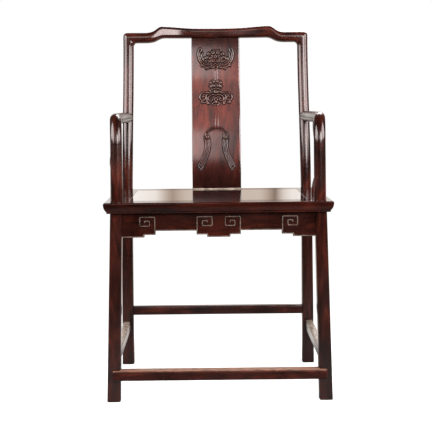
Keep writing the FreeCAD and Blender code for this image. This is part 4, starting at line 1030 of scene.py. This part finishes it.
def apron_parts(leg_x, with_centre=False, with_bands=True):
    parts = [plate(apron_edge(leg_x, with_centre))]
    if with_bands:
        inner = CENTRE_MID_HALF - BAND_LAP if with_centre else 0.0
        outer = leg_x - LOBE_MID_REACH + BAND_WIDTH
        for sign in (-1, 1):
            parts.append(band(end_band_path(sign, leg_x)))
            places = (inner, (inner + outer) / 2, outer)
            parts.append(band([(sign * place, BAND_THIN_LEVEL) for place in places]))
        if with_centre:
            parts.append(band(centre_band_path()))
    return joined(parts)


def aprons():
    points, faces, grain = apron_parts(FRONT_TOP_X, with_centre=True)
    # The bands' crowns are painted pale, as wear and partly a painted highlight.
    crowns = (points[:, 1] - APRON_THICK / 2 - BAND_PROUD * 0.55) / (BAND_PROUD * 0.4)
    placed = points * (1, -1, 1) + (0, FRONT_APRON_Y, 0)
    worn = smooth(crowns) * BAND_WEAR_AND_HIGHLIGHT
    new_piece("front_apron", placed, turned_over(faces), grain, shaded_apron_wood, sharp=45, worn=worn)

    points, faces, grain = apron_parts(REAR_TOP_X, with_bands=False)
    placed = points + (0, REAR_APRON_Y, 0)
    new_piece("rear_apron", placed, faces, grain + (0, 40.0, 0), shaded_apron_wood, sharp=45)

    middle = (FRONT_TOP_Y + BACK_POST_Y) / 2
    points, faces, grain = apron_parts((BACK_POST_Y - FRONT_TOP_Y) / 2)
    for side, sign in SIDES:
        placed = np.column_stack([sign * (SIDE_APRON_X + points[:, 1]), middle + points[:, 0], points[:, 2]])
        own_faces = turned_over(faces) if sign > 0 else faces
        own_grain = grain + (0, 80.0 * sign, 0)
        new_piece(side + "_apron", placed, own_faces, own_grain, shaded_apron_wood, sharp=45)


# Stretchers, whose upper edges are painted pale: wear on the foot rail, and wear that is partly a painted
# highlight on the side stretchers

REAR_STRETCHER_HOLD = 10.0
SIDE_STRETCHER_HOLD = 8.0
FOOT_RAIL_HOLD = 2.0
LAP_GAP = 0.5
LAP_THINNING = 2.2


def edge_wear_and_highlight(section, start, width, amount):
    """Pale wear on the part of a section above a height over its middle; on the side stretchers it is partly
    a painted highlight.
    """
    return smooth((section[:, 1] - start) / width) * amount


def stretchers():
    section = rounded(STRETCHER_THICK, STRETCHER_HEIGHT, STRETCHER_ROUND)
    middle = FOOT_RAIL_Z + STRETCHER_STEP * 2 + STRETCHER_HEIGHT / 2
    across, along, width = leg_place(False, middle)
    half = across - width / 2 + REAR_STRETCHER_HOLD
    rings = [upright_ring(x, along, middle, section) for x in np.linspace(-half, half, 9)]
    new_piece("rear_stretcher", *swept(rings, shift=29.0), dark_wood)

    middle -= STRETCHER_STEP
    front_x, front_y, width = leg_place(True, middle)
    rear_x, rear_y, width = leg_place(False, middle)
    reach = width / 2 - SIDE_STRETCHER_HOLD
    places = np.linspace(front_y + reach, rear_y - reach, 9)
    # The side stretchers' upper edges are painted pale, as wear and partly a painted highlight.
    worn = np.tile(edge_wear_and_highlight(section, 9.0, 4.0, 0.55), len(places))
    for side, sign in SIDES:
        across = sign * (front_x + rear_x) / 2 + section[:, 0]
        level = middle + section[:, 1]
        rings = [(np.column_stack([across, np.full(len(level), y), level]), section) for y in places]
        points, faces, grain = swept(rings, shift=43.0 * sign)
        new_piece(side + "_stretcher", points, turned_over(faces), grain, dark_wood, worn=worn)


def foot_rail():
    """The front stretcher: deep between the legs, and lapped over their front faces."""
    middle = FOOT_RAIL_Z + STRETCHER_HEIGHT / 2
    leg_x, leg_y, width = leg_place(True, middle)
    leg_face, inner = leg_y - width / 2, leg_x - width / 2
    front, back, lap_back = leg_face - FOOT_RAIL_PROUD, leg_face + FOOT_RAIL_BACK, leg_face + LAP_GAP
    stations = [(x, front, back, 0.0) for x in np.linspace(0, inner + FOOT_RAIL_HOLD, 9)]
    stations.append((inner + FOOT_RAIL_HOLD, front, lap_back, 0.0))
    for turn in np.linspace(0, QUARTER, 8):
        ahead, bend = math.sin(turn), 1 - math.cos(turn)
        x = inner + FOOT_RAIL_LAP - LAP_ROUND * (1 - ahead)
        stations.append((x, front + LAP_ROUND * bend, lap_back, LAP_THINNING * bend))
    stations = [(-x, *rest) for x, *rest in stations[:0:-1]] + stations
    rings, worn = [], []
    for x, near, far, thinner in stations:
        section = rounded(far - near, STRETCHER_HEIGHT - thinner * 2, FOOT_RAIL_ROUND)
        rings.append(upright_ring(x, (near + far) / 2, middle, section))
        worn.append(edge_wear_and_highlight(section, 10.0, 3.0, 0.6))
    parts = swept(rings, shift=7.0)
    new_piece("foot_rail", *parts, worn_wood, "worn_hardwood", sharp=50, worn=worn)


for side, sign in SIDES:
    front_leg(side, sign)
    rear_leg(side, sign)
    arm(side, sign)
    side_post(side, sign)
crest_rail()
splat()
seat_frame()
aprons()
stretchers()
foot_rail()

# The seat board and its battens keep their CAD shapes.
KEPT = {"seat_board": top_wood, "left_seat_batten": batten_wood, "right_seat_batten": batten_wood}
for name, material in KEPT.items():
    materials = frame["nodes"][name].data.materials
    materials.clear()
    materials.append(material)


# Camera

CAMERA_PLACE = (-0.0291, -2.9841, 0.7533)
CAMERA_PITCH, CAMERA_YAW, CAMERA_ROLL = 0.1012, 0.0082, 0.0088
PHOTO_SIDE = 432
FOCAL_PIXELS = 1097.4
SENSOR = 36.0


def camera():
    sin_pitch, cos_pitch = math.sin(CAMERA_PITCH), math.cos(CAMERA_PITCH)
    sin_yaw, cos_yaw = math.sin(CAMERA_YAW), math.cos(CAMERA_YAW)
    forward = Vector((sin_yaw * cos_pitch, cos_yaw * cos_pitch, -sin_pitch))
    right = Vector((cos_yaw, -sin_yaw, 0.0))
    up = right.cross(forward)
    across = right * math.cos(CAMERA_ROLL) - up * math.sin(CAMERA_ROLL)
    upright = right * math.sin(CAMERA_ROLL) + up * math.cos(CAMERA_ROLL)
    data = bpy.data.cameras.new("view")
    data.sensor_width = SENSOR
    data.lens = FOCAL_PIXELS / PHOTO_SIDE * SENSOR
    made = added("view", data)
    columns = (across, upright, -forward, Vector(CAMERA_PLACE))
    made.matrix_world = Matrix((*zip(*columns), (0, 0, 0, 1)))
    bpy.context.scene.camera = made


camera()


# Studio

def seen_directly(tree, rays):
    return maths(tree, "MAXIMUM", rays["Is Camera Ray"], rays["Is Transmission Ray"])


def floor_material():
    """A pale floor that keeps the chair's shadow. Further out it is plain white to camera rays,
    and behind the chair to glossy rays too. Glossy rays see it darker and its glow warmer."""
    material = bpy.data.materials.new("floor_look")
    material.use_nodes = True
    tree = material.node_tree
    tree.nodes.clear()
    rays = node(tree, "ShaderNodeLightPath").outputs
    glossy = rays["Is Glossy Ray"]
    places = node(tree, "ShaderNodeTexCoord").outputs["Object"]
    distance = node(tree, "ShaderNodeVectorMath", {0: places}, operation="LENGTH").outputs["Value"]
    far = remap(tree, distance, 0.5, 1.4, 0.8, 1.0)
    behind = remap(tree, part_of(tree, places, "Y"), 0.3, 0.5, 0.0, 1.0)
    behind = maths(tree, "MULTIPLY", glossy, behind)
    seen = maths(tree, "MAXIMUM", seen_directly(tree, rays), behind)
    pale = remap(tree, distance, 0.6, 1.4, 0.36, 0.08)
    pale = maths(tree, "MULTIPLY", pale, remap(tree, glossy, 0.0, 1.0, 1.0, 0.6))
    warm = colour_mix(tree, glossy, WHITE, (1.0, 0.91, 0.82))
    strength = maths(tree, "MULTIPLY", seen, far)
    diffuse = node(tree, "ShaderNodeBsdfDiffuse", {"Color": pale}).outputs[0]
    glow = node(tree, "ShaderNodeEmission", {"Color": warm, "Strength": strength}).outputs[0]
    both = node(tree, "ShaderNodeAddShader", {0: diffuse, 1: glow}).outputs[0]
    node(tree, "ShaderNodeOutputMaterial", {"Surface": both})
    return material


def stage_plane(name, corners, material):
    mesh = bpy.data.meshes.new(name)
    mesh.from_pydata(corners, [], [tuple(range(len(corners)))])
    mesh.materials.append(material)
    added(name, mesh)


# Levels of light over the backdrop: from left to right with two darker folds, and upwards.
BACKDROP_FOLDS = (
    (0.12, 0.0), (0.24, 0.85), (0.42, 0.82), (0.4535, 0.71), (0.461, 0.49), (0.468, 0.29),
    (0.4755, 0.42), (0.483, 0.5), (0.541, 0.49), (0.549, 0.5), (0.5556, 0.38), (0.563, 0.17),
    (0.5685, 0.55), (0.5775, 0.72), (0.6, 0.76), (0.76, 0.7), (0.88, 0.0),
)
BACKDROP_RISE = ((0.2, 0.0), (0.32, 1.25), (0.42, 1.35), (0.5, 1.6), (0.6, 1.3), (0.8, 0.0))
ROOM_IN_GLOSS = (0.035, 0.033, 0.032)
ROOM_LIGHT = (0.35, 0.35, 0.35)


def fold_colour(level):
    """The backdrop turns redder as it gets darker."""
    return level, level * (0.62 + 0.42 * level), level * (0.38 + 0.66 * level)


def world():
    """Camera and transmission rays see white. Glossy rays see a pale backdrop of limited width
    behind the chair, with two darker folds, and a dim room around it."""
    made = bpy.data.worlds.new("studio")
    bpy.context.scene.world = made
    made.use_nodes = True
    tree = made.node_tree
    tree.nodes.clear()
    rays = node(tree, "ShaderNodeLightPath").outputs
    places = node(tree, "ShaderNodeTexCoord").outputs["Generated"]
    across, back, up = (part_of(tree, places, axis) for axis in "XYZ")
    depth = maths(tree, "MAXIMUM", back, 0.001)
    slope = remap(tree, maths(tree, "DIVIDE", across, depth), -0.5, 0.5, 0.0, 1.0)
    rise = remap(tree, maths(tree, "DIVIDE", up, depth), -0.3, 0.7, 0.0, 1.0)
    folds = ramp(tree, slope, [(place, fold_colour(level)) for place, level in BACKDROP_FOLDS])
    window = ramp(tree, rise, [(place, (level,) * 3) for place, level in BACKDROP_RISE])
    ahead = remap(tree, back, 0.0, 0.3, 0.0, 1.0)
    seen = colour_mix(tree, 1.0, folds, window, "MULTIPLY")
    seen = colour_mix(tree, 1.0, seen, ahead, "MULTIPLY")
    seen = colour_mix(tree, 1.0, seen, ROOM_IN_GLOSS, "ADD")
    colour = colour_mix(tree, rays["Is Glossy Ray"], ROOM_LIGHT, seen)
    colour = colour_mix(tree, seen_directly(tree, rays), colour, WHITE)
    background = node(tree, "ShaderNodeBackground", {"Color": colour}).outputs[0]
    node(tree, "ShaderNodeOutputWorld", {"Surface": background})


world()
stage_plane("floor", [(-9, -9, 0), (9, -9, 0), (9, 9, 0), (-9, 9, 0)], floor_material())


def lamp(name, place, target, width, height, power):
    data = bpy.data.lights.new(name, "AREA")
    data.shape = "RECTANGLE"
    data.size, data.size_y = width, height
    data.energy = power
    made = added(name, data)
    made.location = place
    made.rotation_euler = (Vector(target) - Vector(place)).to_track_quat("-Z", "Y").to_euler()


lamp("left_softbox", (-1.9, -1.0, 1.7), (0, -0.9, 1.3), 2.6, 1.5, 120)
lamp("right_softbox", (1.9, -0.8, 1.7), (0, -0.7, 1.3), 1.6, 1.5, 76)
lamp("front_left_softbox", (-1.06, -6.0, 2.66), (-0.1, 0.2, 0.75), 2.3, 1.75, 52)
lamp("front_high_softbox", (0.0, -2.5, 2.45), (0, 0.2, 0.75), 1.2, 0.9, 3)
lamp("front_right_softbox", (1.1, -2.05, 1.5), (-0.14, 0.21, 0.96), 1.15, 1.2, 72)
lamp("rear_softbox", (0.5, 2.6, 2.5), (0, 0.1, 0.6), 1.6, 1.2, 45)

scene = bpy.context.scene
scene.view_settings.view_transform = "Standard"
